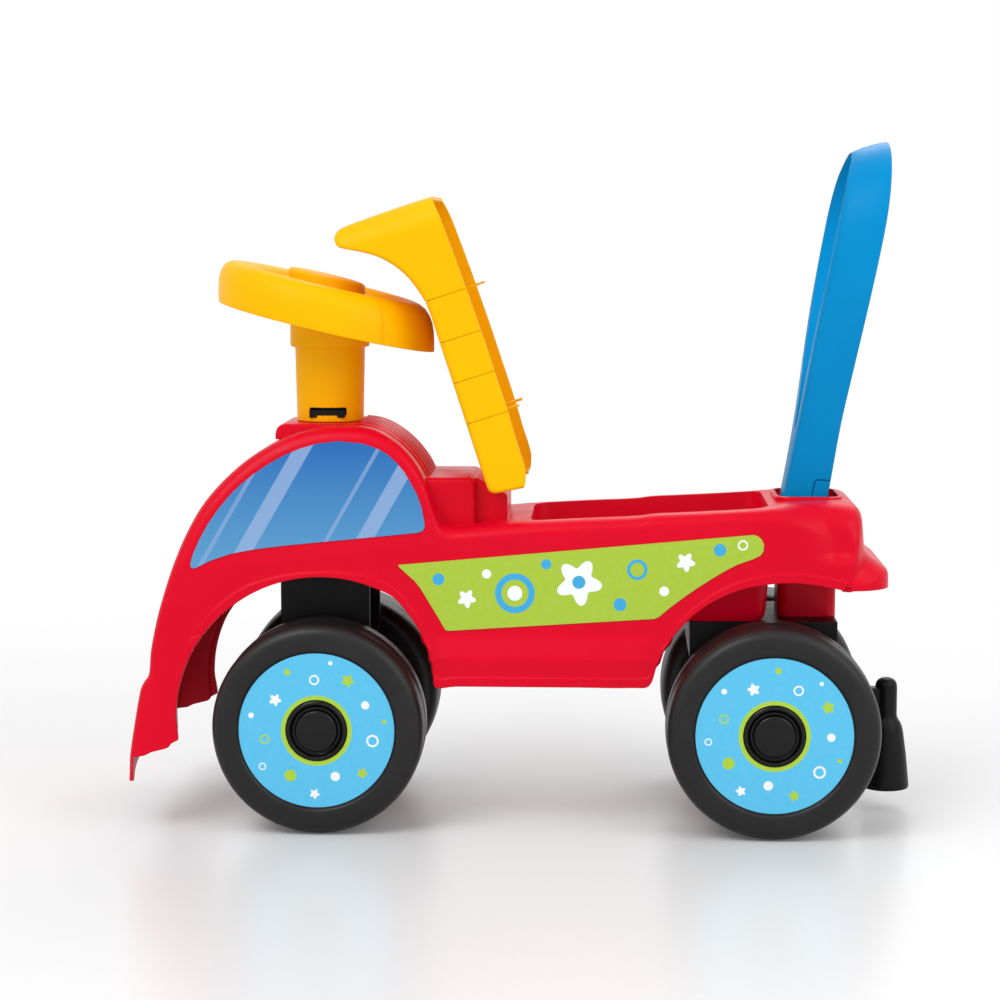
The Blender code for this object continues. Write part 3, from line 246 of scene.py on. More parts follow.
class Bench:
    """Blender's modelling operators, used as by hand on one piece at a time."""

    @staticmethod
    def take(piece: bpy.types.Object | None = None) -> None:
        """Leave only one piece selected and active, or nothing.

        Args:
            piece: The piece, or None to leave nothing selected.
        """
        if bpy.context.object and bpy.context.object.mode != "OBJECT":
            bpy.ops.object.mode_set(mode="OBJECT")
        bpy.ops.object.select_all(action="DESELECT")
        if piece:
            piece.select_set(True)
            bpy.context.view_layer.objects.active = piece

    @staticmethod
    def edit(piece: bpy.types.Object) -> None:
        """Open a piece in edit mode with all of it selected.

        Args:
            piece: The piece.
        """
        Bench.take(piece)
        bpy.ops.object.mode_set(mode="EDIT")
        bpy.ops.mesh.select_all(action="SELECT")

    @staticmethod
    def close() -> None:
        """Merge doubles, turn normals outward and leave edit mode."""
        bpy.ops.mesh.select_all(action="SELECT")
        bpy.ops.mesh.remove_doubles(threshold=WELD)
        bpy.ops.mesh.normals_make_consistent(inside=False)
        bpy.ops.object.mode_set(mode="OBJECT")

    @staticmethod
    def line(name: str, points: Sequence[Vector]) -> bpy.types.Object:
        """Draw a line in edit mode: a small plane is merged to one vertex, which is extruded on.

        Args:
            name: The new piece's name.
            points: The places that the line goes through.

        Returns:
            The piece, still in edit mode with its last point selected.
        """
        Bench.take()
        bpy.ops.mesh.primitive_plane_add(size=0.01, location=(0.0, 0.0, 0.0))
        piece = bpy.context.object
        piece.name = name
        bpy.ops.object.mode_set(mode="EDIT")
        bpy.ops.mesh.select_all(action="SELECT")
        bpy.ops.mesh.merge(type="CENTER")
        bpy.ops.transform.translate(value=points[0])
        for first, second in zip(points, points[1:]):
            bpy.ops.mesh.extrude_vertices_move(TRANSFORM_OT_translate={"value": second - first})
        bpy.ops.mesh.select_all(action="SELECT")
        bpy.ops.mesh.remove_doubles(threshold=WELD)
        return piece

    @staticmethod
    def turned(name: str, profile: Sequence[Pair], centre: Vector, axis: Vector, steps: int = 96) -> bpy.types.Object:
        """Spin a closed profile about an axis.

        Args:
            name: The new piece's name.
            profile: Radius and height pairs in millimetres, in order.
            centre: A point on the axis, in metres.
            axis: The axis, along which heights count.
            steps: How many steps a full turn has.

        Returns:
            The turned solid.
        """
        across = AXIS_X if abs(axis.x) < 0.9 else AXIS_Z
        across = (across - axis * across.dot(axis)).normalized()
        points = [centre + across * (r * MM) + axis * (h * MM) for r, h in profile]
        piece = Bench.line(name, [*points, points[0]])
        bpy.ops.mesh.spin(steps=steps, angle=math.tau, center=centre, axis=axis)
        Bench.close()
        return piece

    @staticmethod
    def slab(name: str, outline: Sequence[Vector], sweep: Vector) -> bpy.types.Object:
        """Fill a drawn outline and extrude it along a sweep.

        Args:
            name: The new piece's name.
            outline: The outline's corners in metres.
            sweep: How far and which way it is extruded, in metres.

        Returns:
            The solid.
        """
        piece = Bench.line(name, [*outline, outline[0]])
        bpy.ops.mesh.edge_face_add()
        bpy.ops.mesh.extrude_region_move(TRANSFORM_OT_translate={"value": sweep})
        Bench.close()
        return piece

    @staticmethod
    def across(name: str, outline: Sequence[Pair], low: float, width: float) -> bpy.types.Object:
        """Sweep an outline in x and z across the car, from y at low, both in millimetres."""
        return Bench.slab(name, [car(x, low, z) for x, z in outline], Vector((0, width * MM, 0)))

    @staticmethod
    def sheet(name: str, rows: Sequence[Sequence[Vector]]) -> bpy.types.Object:
        """Lay a grid through rows of points.

        Args:
            name: The new piece's name.
            rows: Rows with equal counts of points, in metres.

        Returns:
            The open sheet.
        """
        Bench.take()
        bpy.ops.mesh.primitive_grid_add(x_subdivisions=len(rows[0]) - 1, y_subdivisions=len(rows) - 1, size=1.0)
        piece = bpy.context.object
        piece.name = name
        flat = np.array([tuple(point) for row in rows for point in row], np.float32)
        piece.data.vertices.foreach_set("co", flat.ravel())
        piece.data.update()
        return piece

    @staticmethod
    def lofted(name: str, rings: Sequence[Sequence[Vector]]) -> bpy.types.Object:
        """Lay a closed skin through rings of equal counts and fill its two ends.

        Args:
            name: The new piece's name.
            rings: Rings with equal counts of points, in metres.

        Returns:
            The closed solid.
        """
        piece = Bench.sheet(name, [[*ring, ring[0]] for ring in rings])
        Bench.edit(piece)
        bpy.ops.mesh.remove_doubles(threshold=WELD)
        bpy.ops.mesh.select_all(action="DESELECT")
        bpy.ops.mesh.select_non_manifold()
        bpy.ops.mesh.fill_holes(sides=0)
        Bench.close()
        return piece

    @staticmethod
    def block(name: str, low: Vector, high: Vector, bevel: float = 0.0) -> bpy.types.Object:
        """Add a box between two corners.

        Args:
            name: The new piece's name.
            low: Its lowest corner in metres.
            high: Its highest corner in metres.
            bevel: The width of its bevelled edges in millimetres, or 0.

        Returns:
            The box.
        """
        Bench.take()
        bpy.ops.mesh.primitive_cube_add(size=1.0, location=(low + high) / 2)
        piece = bpy.context.object
        piece.name = name
        bpy.ops.object.mode_set(mode="EDIT")
        bpy.ops.mesh.select_all(action="SELECT")
        bpy.ops.transform.resize(value=high - low, center_override=(low + high) / 2)
        if bevel:
            bpy.ops.mesh.bevel(offset=bevel * MM, segments=3)
        bpy.ops.object.mode_set(mode="OBJECT")
        Bench.settle(piece)
        return piece

    @staticmethod
    def settle(piece: bpy.types.Object) -> None:
        """Put the piece's place into its mesh and its object at the origin."""
        Bench.take(piece)
        bpy.ops.object.transform_apply(location=True, rotation=True, scale=True)

    @staticmethod
    def moved(piece: bpy.types.Object, place: Matrix, name: str = "") -> bpy.types.Object:
        """Move a piece, or a copy of it, by a matrix.

        Args:
            piece: The piece.
            place: The matrix.
            name: The name of a copy with its own mesh, or nothing to move the piece itself.

        Returns:
            The moved piece.
        """
        if name:
            piece = piece.copy()
            piece.data = piece.data.copy()
            piece.name = name
            bpy.context.scene.collection.objects.link(piece)
        piece.matrix_world = place @ piece.matrix_world
        Bench.settle(piece)
        return piece

    @staticmethod
    def apply(piece: bpy.types.Object) -> None:
        """Apply the piece's modifiers in order.

        Args:
            piece: The piece.
        """
        Bench.take(piece)
        for modifier in list(piece.modifiers):
            bpy.ops.object.modifier_apply(modifier=modifier.name)

    @staticmethod
    def combine(piece: bpy.types.Object, operation: str, tools: Sequence[bpy.types.Object]) -> None:
        """Join, cut or trim a piece with tools, which are used up.

        Args:
            piece: The piece.
            operation: UNION, DIFFERENCE or INTERSECT.
            tools: The solids to combine it with.
        """
        for tool in tools:
            step = piece.modifiers.new(operation.lower(), "BOOLEAN")
            step.operation = operation
            step.solver = "MANIFOLD"
            step.object = tool
            Bench.apply(piece)
            bpy.data.objects.remove(tool, do_unlink=True)

    @staticmethod
    def join(piece: bpy.types.Object, *tools: bpy.types.Object) -> None:
        """Unite a piece with others."""
        Bench.combine(piece, "UNION", tools)

    @staticmethod
    def cut(piece: bpy.types.Object, *tools: bpy.types.Object) -> None:
        """Take others out of a piece."""
        Bench.combine(piece, "DIFFERENCE", tools)

    @staticmethod
    def wall(piece: bpy.types.Object, thickness: float, facing: Vector) -> None:
        """Give a sheet a wall on its inner side.

        Args:
            piece: The sheet.
            thickness: The wall's thickness in millimetres.
            facing: The way that most of the sheet's outer side faces.
        """
        Bench.edit(piece)
        bpy.ops.mesh.remove_doubles(threshold=SHEET_WELD)
        bpy.ops.mesh.normals_make_consistent(inside=False)
        bpy.ops.object.mode_set(mode="OBJECT")
        if sum(face.normal.dot(facing) * face.area for face in piece.data.polygons) < 0:
            Bench.edit(piece)
            bpy.ops.mesh.flip_normals()
            bpy.ops.object.mode_set(mode="OBJECT")
        solid = piece.modifiers.new("wall", "SOLIDIFY")
        solid.thickness = thickness * MM
        solid.offset = -1.0
        Bench.apply(piece)

    @staticmethod
    def ease_edges(piece: bpy.types.Object, width: float, segments: int = 3, degrees: float = 35.0) -> None:
        """Bevel the edges that are sharper than an angle.

        Args:
            piece: The piece.
            width: The bevel's width in millimetres.
            segments: Its steps.
            degrees: The angle.
        """
        bevel = piece.modifiers.new("edges", "BEVEL")
        bevel.width = width * MM
        bevel.segments = segments
        bevel.limit_method = "ANGLE"
        bevel.angle_limit = math.radians(degrees)
        Bench.apply(piece)

    @staticmethod
    def smooth(piece: bpy.types.Object, degrees: float = 32.0) -> None:
        """Shade a piece smooth but for its sharp edges."""
        Bench.take(piece)
        bpy.ops.object.shade_smooth_by_angle(angle=math.radians(degrees))


class Wire:
    """One output of a node, with arithmetic that adds Math nodes to the same graph."""

    def __init__(self, graph: "Graph", socket: bpy.types.NodeSocket) -> None:
        """Keep the graph and the socket."""
        self.graph = graph
        self.socket = socket

    def __add__(self, other: "Wire | float") -> "Wire":
        """Add."""
        return self.graph.maths("ADD", self, other)

    def __radd__(self, other: float) -> "Wire":
        """Add, with the number first."""
        return self.graph.maths("ADD", other, self)

    def __sub__(self, other: "Wire | float") -> "Wire":
        """Take away."""
        return self.graph.maths("SUBTRACT", self, other)

    def __rsub__(self, other: float) -> "Wire":
        """Take this away from a number."""
        return self.graph.maths("SUBTRACT", other, self)

    def __mul__(self, other: "Wire | float") -> "Wire":
        """Multiply."""
        return self.graph.maths("MULTIPLY", self, other)

    def __rmul__(self, other: float) -> "Wire":
        """Multiply, with the number first."""
        return self.graph.maths("MULTIPLY", other, self)

    def __abs__(self) -> "Wire":
        """Drop the sign."""
        return self.graph.maths("ABSOLUTE", self)


class Graph:
    """The node tree of one material."""

    def __init__(self, name: str) -> None:
        """Start a material whose only nodes are its shader and its output.

        Args:
            name: The material's name.
        """
        self.material = bpy.data.materials.new(name)
        self.material.use_nodes = True
        self.tree = self.material.node_tree
        self.shader = self.tree.nodes["Principled BSDF"]

    def node(self, kind: str, inputs: dict[Any, Any] | None = None, **settings: Any) -> bpy.types.Node:
        """Add a node.

        Args:
            kind: The node's type name.
            inputs: A value or a Wire for each socket, by name or number.
            settings: Attributes of the node, set before its sockets.

        Returns:
            The new node.
        """
        made = self.tree.nodes.new(kind)
        for key, value in settings.items():
            setattr(made, key, value)
        for key, value in (inputs or {}).items():
            if isinstance(value, Wire):
                self.tree.links.new(value.socket, made.inputs[key])
            else:
                made.inputs[key].default_value = value
        return made

    def maths(self, operation: str, *operands: "Wire | float") -> Wire:
        """Add a Math node on numbers and wires."""
        return Wire(self, self.node("ShaderNodeMath", dict(enumerate(operands)), operation=operation).outputs[0])

    def place(self) -> Wire:
        """Give the point on the piece in the car's own coordinates."""
        return Wire(self, self.node("ShaderNodeTexCoord").outputs["Object"])

    def film_place(self) -> Wire:
        """Give the point on a round film, from its UV map."""
        return Wire(self, self.node("ShaderNodeTexCoord").outputs["UV"])

    def parts(self, vector: Wire) -> tuple[Wire, Wire, Wire]:
        """Split a vector in its x, y and z."""
        made = self.node("ShaderNodeSeparateXYZ", {0: vector})
        return Wire(self, made.outputs[0]), Wire(self, made.outputs[1]), Wire(self, made.outputs[2])

    def noise(self, vector: Wire, scale: float, detail: float = 3.0, roughness: float = 0.55) -> Wire:
        """Add a noise texture and give its value."""
        inputs = {"Vector": vector, "Scale": scale, "Detail": detail, "Roughness": roughness}
        return Wire(self, self.node("ShaderNodeTexNoise", inputs).outputs[0])

    def spread(self, value: Wire, low: float, high: float, to_low: float, to_high: float) -> Wire:
        """Map a range of values on another, without leaving it."""
        inputs = {0: value, 1: low, 2: high, 3: to_low, 4: to_high}
        return Wire(self, self.node("ShaderNodeMapRange", inputs, clamp=True).outputs[0])

    def mix(self, factor: "Wire | float", first: "Wire | Colour", second: "Wire | Colour") -> Wire:
        """Mix two colours by a factor."""
        return Wire(self, self.node("ShaderNodeMix", {0: factor, 6: first, 7: second}, data_type="RGBA").outputs[2])

    def relief(self, height: Wire, distance: float, edge: float = 0.0) -> None:
        """Shape the shader's normal.

        Args:
            height: The surface's height, from 0 to 1.
            distance: What a height of 1 stands for, in metres.
            edge: The radius that sharp edges are rounded to, in metres.
        """
        inputs = {"Height": height, "Distance": distance, "Strength": 1.0}
        if edge:
            inputs["Normal"] = Wire(self, self.node("ShaderNodeBevel", {"Radius": edge}, samples=6).outputs[0])
        self.tree.links.new(self.node("ShaderNodeBump", inputs).outputs[0], self.shader.inputs["Normal"])

    def finish(self, **inputs: Any) -> bpy.types.Material:
        """Set the shader's sockets and give the material.

        Args:
            inputs: Socket names with underscores for spaces, each with a value or a Wire.

        Returns:
            The finished material.
        """
        for name, value in inputs.items():
            socket = self.shader.inputs[name.replace("_", " ")]
            if isinstance(value, Wire):
                self.tree.links.new(value.socket, socket)
            else:
                socket.default_value = value
        return self.material


@dataclass(frozen=True)
class MouldedPlastic:
    """Injection-moulded plastic: faint flow mottle, fine orange peel, light handling marks."""

    name: str
    colour: Colour
    deep: Colour
    roughness: float = 0.34
    peel: float = 0.00004
    edge: float = 0.0011
    gloss: float = 0.4

    def build(self) -> bpy.types.Material:
        """Give the material.

        Returns:
            The finished material.
        """
        graph = Graph(self.name)
        where = graph.place()
        flow = graph.spread(graph.noise(where, 9.0, 2.0), 0.35, 0.75, 0.0, 1.0)
        rubbed = graph.spread(graph.noise(where, 38.0, 5.0, 0.7), 0.42, 0.7, -0.05, 0.07)
        peel = graph.noise(where, 420.0, 2.0) * 0.7 + graph.noise(where, 1500.0, 1.0) * 0.3
        graph.relief(peel, self.peel, self.edge)
        return graph.finish(Base_Color=graph.mix(flow, self.colour, self.deep), Roughness=rubbed + self.roughness,
                            IOR=1.49, Specular_IOR_Level=self.gloss)


@dataclass(frozen=True)
class TyrePlastic:
    """Satin black blow-moulded plastic with dust in its grain."""

    name: str = "satin black wheel plastic"
    colour: Colour = srgb(20, 18, 19)
    dusty: Colour = srgb(38, 35, 36)
    gloss: float = 0.32

    def build(self) -> bpy.types.Material:
        """Give the material.

        Returns:
            The finished material.
        """
        graph = Graph(self.name)
        where = graph.place()
        cloud = graph.spread(graph.noise(where, 30.0, 4.0, 0.6), 0.35, 0.75, 0.0, 1.0)
        grain = graph.noise(where, 900.0, 3.0, 0.7)
        dust = graph.spread(grain, 0.6, 0.75, 0.0, 0.12) + cloud * 0.4
        graph.relief(grain * 0.6 + graph.noise(where, 260.0, 2.0) * 0.4, 0.00009, 0.0007)
        return graph.finish(Base_Color=graph.mix(dust, self.colour, self.dusty), Roughness=cloud * 0.08 + 0.36,
                            IOR=1.48, Specular_IOR_Level=self.gloss)


@dataclass(frozen=True)
class ZincSteel:
    """Zinc-plated steel of axles, rings and screws."""

    name: str = "zinc-plated steel"
    dull: Colour = srgb(178, 180, 184)
    bright: Colour = srgb(206, 208, 210)

    def build(self) -> bpy.types.Material:
        """Give the material.

        Returns:
            The finished material.
        """
        graph = Graph(self.name)
        where = graph.place()
        cloud = graph.noise(where, 160.0, 4.0)
        graph.relief(graph.noise(where, 900.0, 2.0), 0.00003, 0.0003)
        return graph.finish(Base_Color=graph.mix(cloud, self.dull, self.bright), Metallic=1.0,
                            Roughness=cloud * 0.2 + 0.22)


class Shape(Enum):
    """The plain motifs of the prints."""

    DISC = "disc"
    RING = "ring"
    FLOWER = "flower"


@dataclass(frozen=True)
class Motif:
    """One printed motif: its shape, its middle and radius in millimetres, and whether it has the second ink."""

    shape: Shape
    x: float
    z: float
    radius: float
    second_ink: bool = False

    def mask(self, graph: Graph, x: Wire, z: Wire) -> Wire:
        """Give 1 on the motif and 0 off it, from the place in millimetres.

        Args:
            graph: The material's graph.
            x: The place's x in millimetres.
            z: Its z in millimetres.

        Returns:
            The mask.
        """
        dx = x - self.x
        dz = z - self.z
        reach = graph.maths("SQRT", dx * dx + dz * dz)
        if self.shape is Shape.RING:
            band = self.radius * 0.16
            return graph.spread(abs(reach - (self.radius - band)), band - PRINT_EDGE, band + PRINT_EDGE, 1.0, 0.0)
        if self.shape is Shape.FLOWER:
            petals = graph.maths("COSINE", graph.maths("ARCTAN2", dz, dx) * 5.0 + 0.9)
            reach = reach - petals * (self.radius * 0.2)
            edge = self.radius * 0.8
            return graph.spread(reach, edge - PRINT_EDGE, edge + PRINT_EDGE, 1.0, 0.0)
        return graph.spread(reach, self.radius - PRINT_EDGE, self.radius + PRINT_EDGE, 1.0, 0.0)


def polar(shape: Shape, degrees: float, reach: float, radius: float, second_ink: bool = False) -> Motif:
    """Place a motif on a wheel film by its angle and its distance from the hub."""
    angle = math.radians(degrees)
    return Motif(shape, reach * math.cos(angle), reach * math.sin(angle), radius, second_ink)


WHEEL_MOTIFS = (
    polar(Shape.DISC, 28, 39, 2.9), polar(Shape.FLOWER, 58, 42, 4.6, True), polar(Shape.RING, 92, 36, 3.6),
    polar(Shape.DISC, 116, 46, 2.3, True), polar(Shape.FLOWER, 143, 36, 4.4), polar(Shape.DISC, 167, 47, 2.0),
    polar(Shape.RING, 190, 37, 3.4, True), polar(Shape.RING, 214, 46, 2.6), polar(Shape.DISC, 240, 37, 4.2, True),
    polar(Shape.FLOWER, 268, 45, 3.6), polar(Shape.DISC, 292, 35, 3.3), polar(Shape.FLOWER, 317, 44, 3.9, True),
    polar(Shape.RING, 350, 40, 4.4), polar(Shape.DISC, 8, 48, 1.6, True), polar(Shape.DISC, 78, 49, 1.5),
)
STRIPE_MOTIFS = (
    Motif(Shape.DISC, 84, 178.5, 4.2, True), Motif(Shape.FLOWER, 104, 165, 6.6), Motif(Shape.DISC, 118, 182.5, 3.2),
    Motif(Shape.RING, 138, 169, 14.0, True), Motif(Shape.DISC, 138, 169, 5.2), Motif(Shape.FLOWER, 183, 177, 16.5),
    Motif(Shape.DISC, 183, 177, 4.6, True), Motif(Shape.DISC, 160, 189.5, 3.6, True),
    Motif(Shape.DISC, 212, 161.5, 4.6, True), Motif(Shape.RING, 224, 186, 7.2, True),
    Motif(Shape.DISC, 243, 171, 3.4), Motif(Shape.FLOWER, 258, 191.5, 6.8), Motif(Shape.DISC, 282, 200, 4.4, True),
    Motif(Shape.RING, 298, 203.5, 3.6),
)


@dataclass(frozen=True)
class PrintedFilm:
    """Glossy film with plain motifs in white and a second ink on a coloured ground."""

    name: str
    ground: Colour
    second: Colour
    motifs: tuple[Motif, ...]
    on_wheel: bool = False
    hub_band: float = 24.9
    white: Colour = srgb(238, 242, 246)

    def build(self) -> bpy.types.Material:
        """Give the material.

        Returns:
            The finished material.
        """
        graph = Graph(self.name)
        where = graph.place()
        if self.on_wheel:
            u, v, _ = graph.parts(graph.film_place())
            x, z = u * FILM_SPAN - FILM_SPAN / 2, v * FILM_SPAN - FILM_SPAN / 2
        else:
            across, _, up = graph.parts(where)
            x, z = across * (1 / MM) - FRONT_AXLE_X, up * (1 / MM)
        grain = graph.noise(where, 240.0, 3.0)
        colour = graph.mix(graph.spread(grain, 0.3, 0.7, 0.0, 0.03), self.ground, self.white)
        if self.on_wheel:
            reach = graph.maths("SQRT", x * x + z * z)
            band = graph.spread(reach, self.hub_band - PRINT_EDGE, self.hub_band + PRINT_EDGE, 1.0, 0.0)
            colour = graph.mix(band, colour, self.second)
        for motif in self.motifs:
            colour = graph.mix(motif.mask(graph, x, z), colour, self.second if motif.second_ink else self.white)
        graph.relief(grain, 0.00002)
        return graph.finish(Base_Color=colour, Roughness=grain * 0.06 + 0.27, Coat_Weight=0.06,
                            Coat_Roughness=0.15, Specular_IOR_Level=0.3)


@dataclass(frozen=True)
class WindowFilm:
    """The printed side window: a blue that deepens upwards, with slanted light streaks."""

    name: str = "window film"
    low: Colour = srgb(82, 146, 192)
    middle: Colour = srgb(62, 128, 184)
    high: Colour = srgb(24, 98, 172)
    streak: Colour = srgb(140, 168, 208)
    streaks: tuple[tuple[float, float, float], ...] = (
        (-83.6, 1.7, 0.5), (-58.4, 6.3, 0.75), (-4.4, 1.6, 0.55), (22.4, 6.2, 0.75))
    slant: float = 0.565

    def build(self) -> bpy.types.Material:
        """Give the material.

        Returns:
            The finished material.
        """
        graph = Graph(self.name)
        where = graph.place()
        across, _, up = graph.parts(where)
        x, z = across * (1 / MM) - FRONT_AXLE_X, up * (1 / MM)
        colour = graph.mix(graph.spread(z, 192.0, 232.0, 0.0, 1.0), self.low, self.middle)
        colour = graph.mix(graph.spread(z, 232.0, 274.0, 0.0, 1.0), colour, self.high)
        slide = x - (z - 190.0) * self.slant
        for middle, half, strength in self.streaks:
            inside = graph.spread(abs(slide - middle), half - 0.15, half + 0.15, strength, 0.0)
            colour = graph.mix(inside, colour, self.streak)
        graph.relief(graph.noise(where, 240.0, 3.0), 0.00002)
        return graph.finish(Base_Color=colour, Roughness=graph.noise(where, 60.0) * 0.06 + 0.26, Coat_Weight=0.06,
                            Coat_Roughness=0.15, Specular_IOR_Level=0.25)


def dress(piece: bpy.types.Object, material: bpy.types.Material, body: str, slot: str, *nodes: str) -> None:
    """Give a finished piece its material, its body and the CAD nodes that it stands for.

    Args:
        piece: The finished piece.
        material: Its material.
        body: The body that it rides on.
        slot: The record's material slot; it is not used.
        nodes: The CAD nodes that it replaces.
    """
    piece.data.materials.clear()
    piece.data.materials.append(material)
    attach(piece, body)
    if nodes:
        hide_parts(*nodes)
    LOG.info("%s: %d faces on %s", piece.name, len(piece.data.polygons), body)


@dataclass
class Sections:
    """A moulded skin whose sections run from the middle plane over a rounded edge down to a rim on each side."""

    width_at: Callable[[float, float], float]
    creases: tuple[Pair, ...] = ()
    lip: Pair = (0.0, 0.0)
    arc_steps: int = 7
    side_steps: int = 4
    centre_steps: int = 6

    def half(self, outer: Pair, rim: Pair, radius: float) -> list[tuple[float, float, float]]:
        """Give the points of one section's half, from its top edge down the side.

        Args:
            outer: The section's point on the middle plane, as x and z.
            rim: Its point on the rim.
            radius: The radius between top and side.

        Returns:
            Points as x, half width and z.
        """
        length = math.hypot(rim[0] - outer[0], rim[1] - outer[1])
        way = ((rim[0] - outer[0]) / length, (rim[1] - outer[1]) / length)
        stations = []
        for step in range(self.arc_steps + 1):
            angle = math.pi / 2 * step / self.arc_steps
            stations.append((radius * (1 - math.cos(angle)), radius * (1 - math.sin(angle))))
        knots = [radius]
        for index, (level, rise) in enumerate(self.creases):
            slope = way[1] - rise * way[0]
            at = (level + rise * outer[0] - outer[1]) / slope if abs(slope) > 1e-9 else -1.0
            if not knots[-1] + 4.0 < at < length - 4.0:
                at = knots[-1] + (length - knots[-1]) / (len(self.creases) + 1 - index)
            knots.append(at)
        wide, lift = self.lip
        if wide:
            knots.append(max(length - wide, knots[-1] + 1.5))
        knots.append(length)
        for first, second in zip(knots, knots[1:]):
            inner = min(1.2, (second - first) / 4)
            low, high = first + inner, second - inner
            stations += [(lerp(low, high, i / self.side_steps), 0.0) for i in range(self.side_steps + 1)]
            stations.append((second, 0.0))
        placed = []
        for down, inward in stations:
            x, z = outer[0] + way[0] * down, outer[1] + way[1] * down
            bulge = lift * ease(down, knots[-2] - 1.2, knots[-2]) if wide else 0.0
            placed.append((x, self.width_at(x, z) - inward + bulge, z))
        return placed

    def rows(self, drawn: Sequence[Sequence[float]]) -> list[list[tuple[float, float, float]]]:
        """Give whole rows, from one rim over the top to the other, for drawn sections.

        Args:
            drawn: Sections as x and z on the middle plane, x and z on the rim, and radius.

        Returns:
            A row of points, as x, y and z, for each section.
        """
        made = []
        steps = self.centre_steps
        for x, z, rim_x, rim_z, radius in drawn:
            half = self.half((x, z), (rim_x, rim_z), radius)
            top_x, top_y, top_z = half[0]
            flat = [(top_x, top_y * i / steps, top_z) for i in range(1 - steps, steps)]
            made.append([(px, -py, pz) for px, py, pz in reversed(half)] + flat + half)
        return made


@dataclass
class BodyShell:
    """The one-piece red body with its pad, strip, pedestal, hinge block, well and handle socket."""

    wall: float = 3.0
    wheel_radius: float = 75.0
    rear_axle_x: float = 319.2
    belt_z: float = 190.0
    belt_half_width: float = 74.5
    window_line: Pair = (193.5, 0.113)
    flare_z: float = 139.0
    sill_z: float = 103.5
    tail_z: float = 171.6
    tail_top_z: float = 231.8
    corner_inset: float = 4.6
    tower_inset: float = 2.4
    tower_edge: tuple[Pair, ...] = (
        (200.0, 362.5), (204.0, 362.0), (211.8, 360.0), (219.4, 354.0), (225.6, 340.5), (234.6, 318.8))
    well_front_x: float = 147.0
    well_rear_x: float = 318.0
    well_floor_z: float = 149.0
    socket_x: float = 346.0
    socket_half: Pair = (17.0, 21.0)
    hinge: Pair = (121.9, 248.0)
    pedestal_x: float = 92.0
    front_arch: tuple[Pair, ...] = ((19, 11.6), (60, 29.5), (150, 29.5), (187, 26.0))
    rear_arch: tuple[Pair, ...] = ((63, 34.0), (70, 31.0), (88, 26.7), (113, 23.7), (143, 18.8), (161, 16.6))
    hood: tuple[tuple[float, float, float, float], ...] = (
        (-135.0, 53.0, 187, 6), (-131.4, 80.0, 176, 6), (-129.0, 94.5, 168, 6), (-127.8, 100.0, 165, 6),
        (-125.4, 104.6, 162, 6), (-122.9, 108.0, 160, 6), (-121.9, 113.0, 157, 6), (-121.2, 125.3, 151, 6),
        (-117.5, 146.4, 143, 6.5), (-112.3, 166.0, 135, 7), (-104.1, 191.0, 127, 8), (-95.6, 211.0, 120, 9),
        (-84.2, 230.5, 113, 9), (-66.0, 250.6, 105, 9), (-46.5, 265.8, 97, 9), (-24.5, 277.2, 89, 9),
        (-1.0, 283.4, 82, 9), (20.0, 284.6, 75, 9), (37.0, 282.2, 67, 9), (50.0, 275.3, 60, 9),
        (60.5, 266.0, 53, 9), (69.5, 254.0, 46, 9), (75.5, 241.0, 39, 9), (80.5, 227.0, 33, 9),
        (85.0, 216.5, 26, 9), (91.0, 213.8, 19, 9))
    seat: tuple[Pair, ...] = ((0.10, 214.5), (0.37, 218.0), (0.66, 220.5), (0.92, 222.3))
    tail: tuple[tuple[float, float, float, float], ...] = (
        (-83, 8.0, 161, 9), (-66, 7.1, 149, 9), (-46, 6.1, 134, 9), (-27, 5.0, 119, 9), (-8, 3.7, 104, 10),
        (8, 1.8, 91, 13), (24, 0.2, 81, 17), (40, 0.0, 73, 21), (51, 0.3, 69, 22), (58.8, 2.4, 66, 23),
        (63.4, 8.4, 63, 24))
    flange: tuple[tuple[float, float, float], ...] = (
        (65.4, 208.0, 50.4), (67.0, 197.0, 51.2), (77.0, 188.6, 52.2), (82.4, 183.6, 53.0), (83.2, 172.0, 53.8))
    nose_side: tuple[Pair, ...] = (
        (-132.2, 52.4), (-124.0, 53.4), (-119.0, 55.9), (-108.5, 58.6), (-106.6, 59.6), (-105.0, 62.0), (-101.0, 64.2))

    def tower(self, x: float, z: float) -> float:
        """Say how far the side draws in where the seat's round corner meets the tower.

        Args:
            x: The place's x.
            z: Its z.

        Returns:
            The distance in millimetres.
        """
        past = x - along(self.tower_edge, z)
        turn = min(max((past + 22.0) / 22.0, 0.0), 1.0) ** 2.2 * self.corner_inset
        return (turn - (self.corner_inset - self.tower_inset) * ease(past, 1.5, 15.0)) * ease(z, 189.0, 199.0)

    def half_width(self, x: float, z: float) -> float:
        """Give half of the body's width: the cab leans in, fenders and sill flare out, the tower stands in.

        Args:
            x: The place's x.
            z: Its z.

        Returns:
            Half of the width there.
        """
        line = self.window_line[0] + self.window_line[1] * x
        upright = self.belt_half_width + 0.09 * (self.belt_z - z)
        if z > line:
            cab = self.belt_half_width + 0.09 * (self.belt_z - line) - 0.19 * (z - line)
            width = cab + (upright - cab) * ease(x, 80.0, 98.0)
            return width - self.tower(x, z)
        if z >= self.flare_z:
            return upright - self.tower(x, z)
        foot = self.belt_half_width + 0.09 * (self.belt_z - self.flare_z)
        fender = foot + 0.155 * (self.flare_z - z)
        sill = foot + 5.4 * min((self.flare_z - z) / 16.0, 1.0)
        rear = self.rear_axle_x - 94.0
        near_sill = ease(x, 74.0, 92.0) * (1 - ease(x, rear, rear + 20.0))
        return fender + (sill - fender) * near_sill

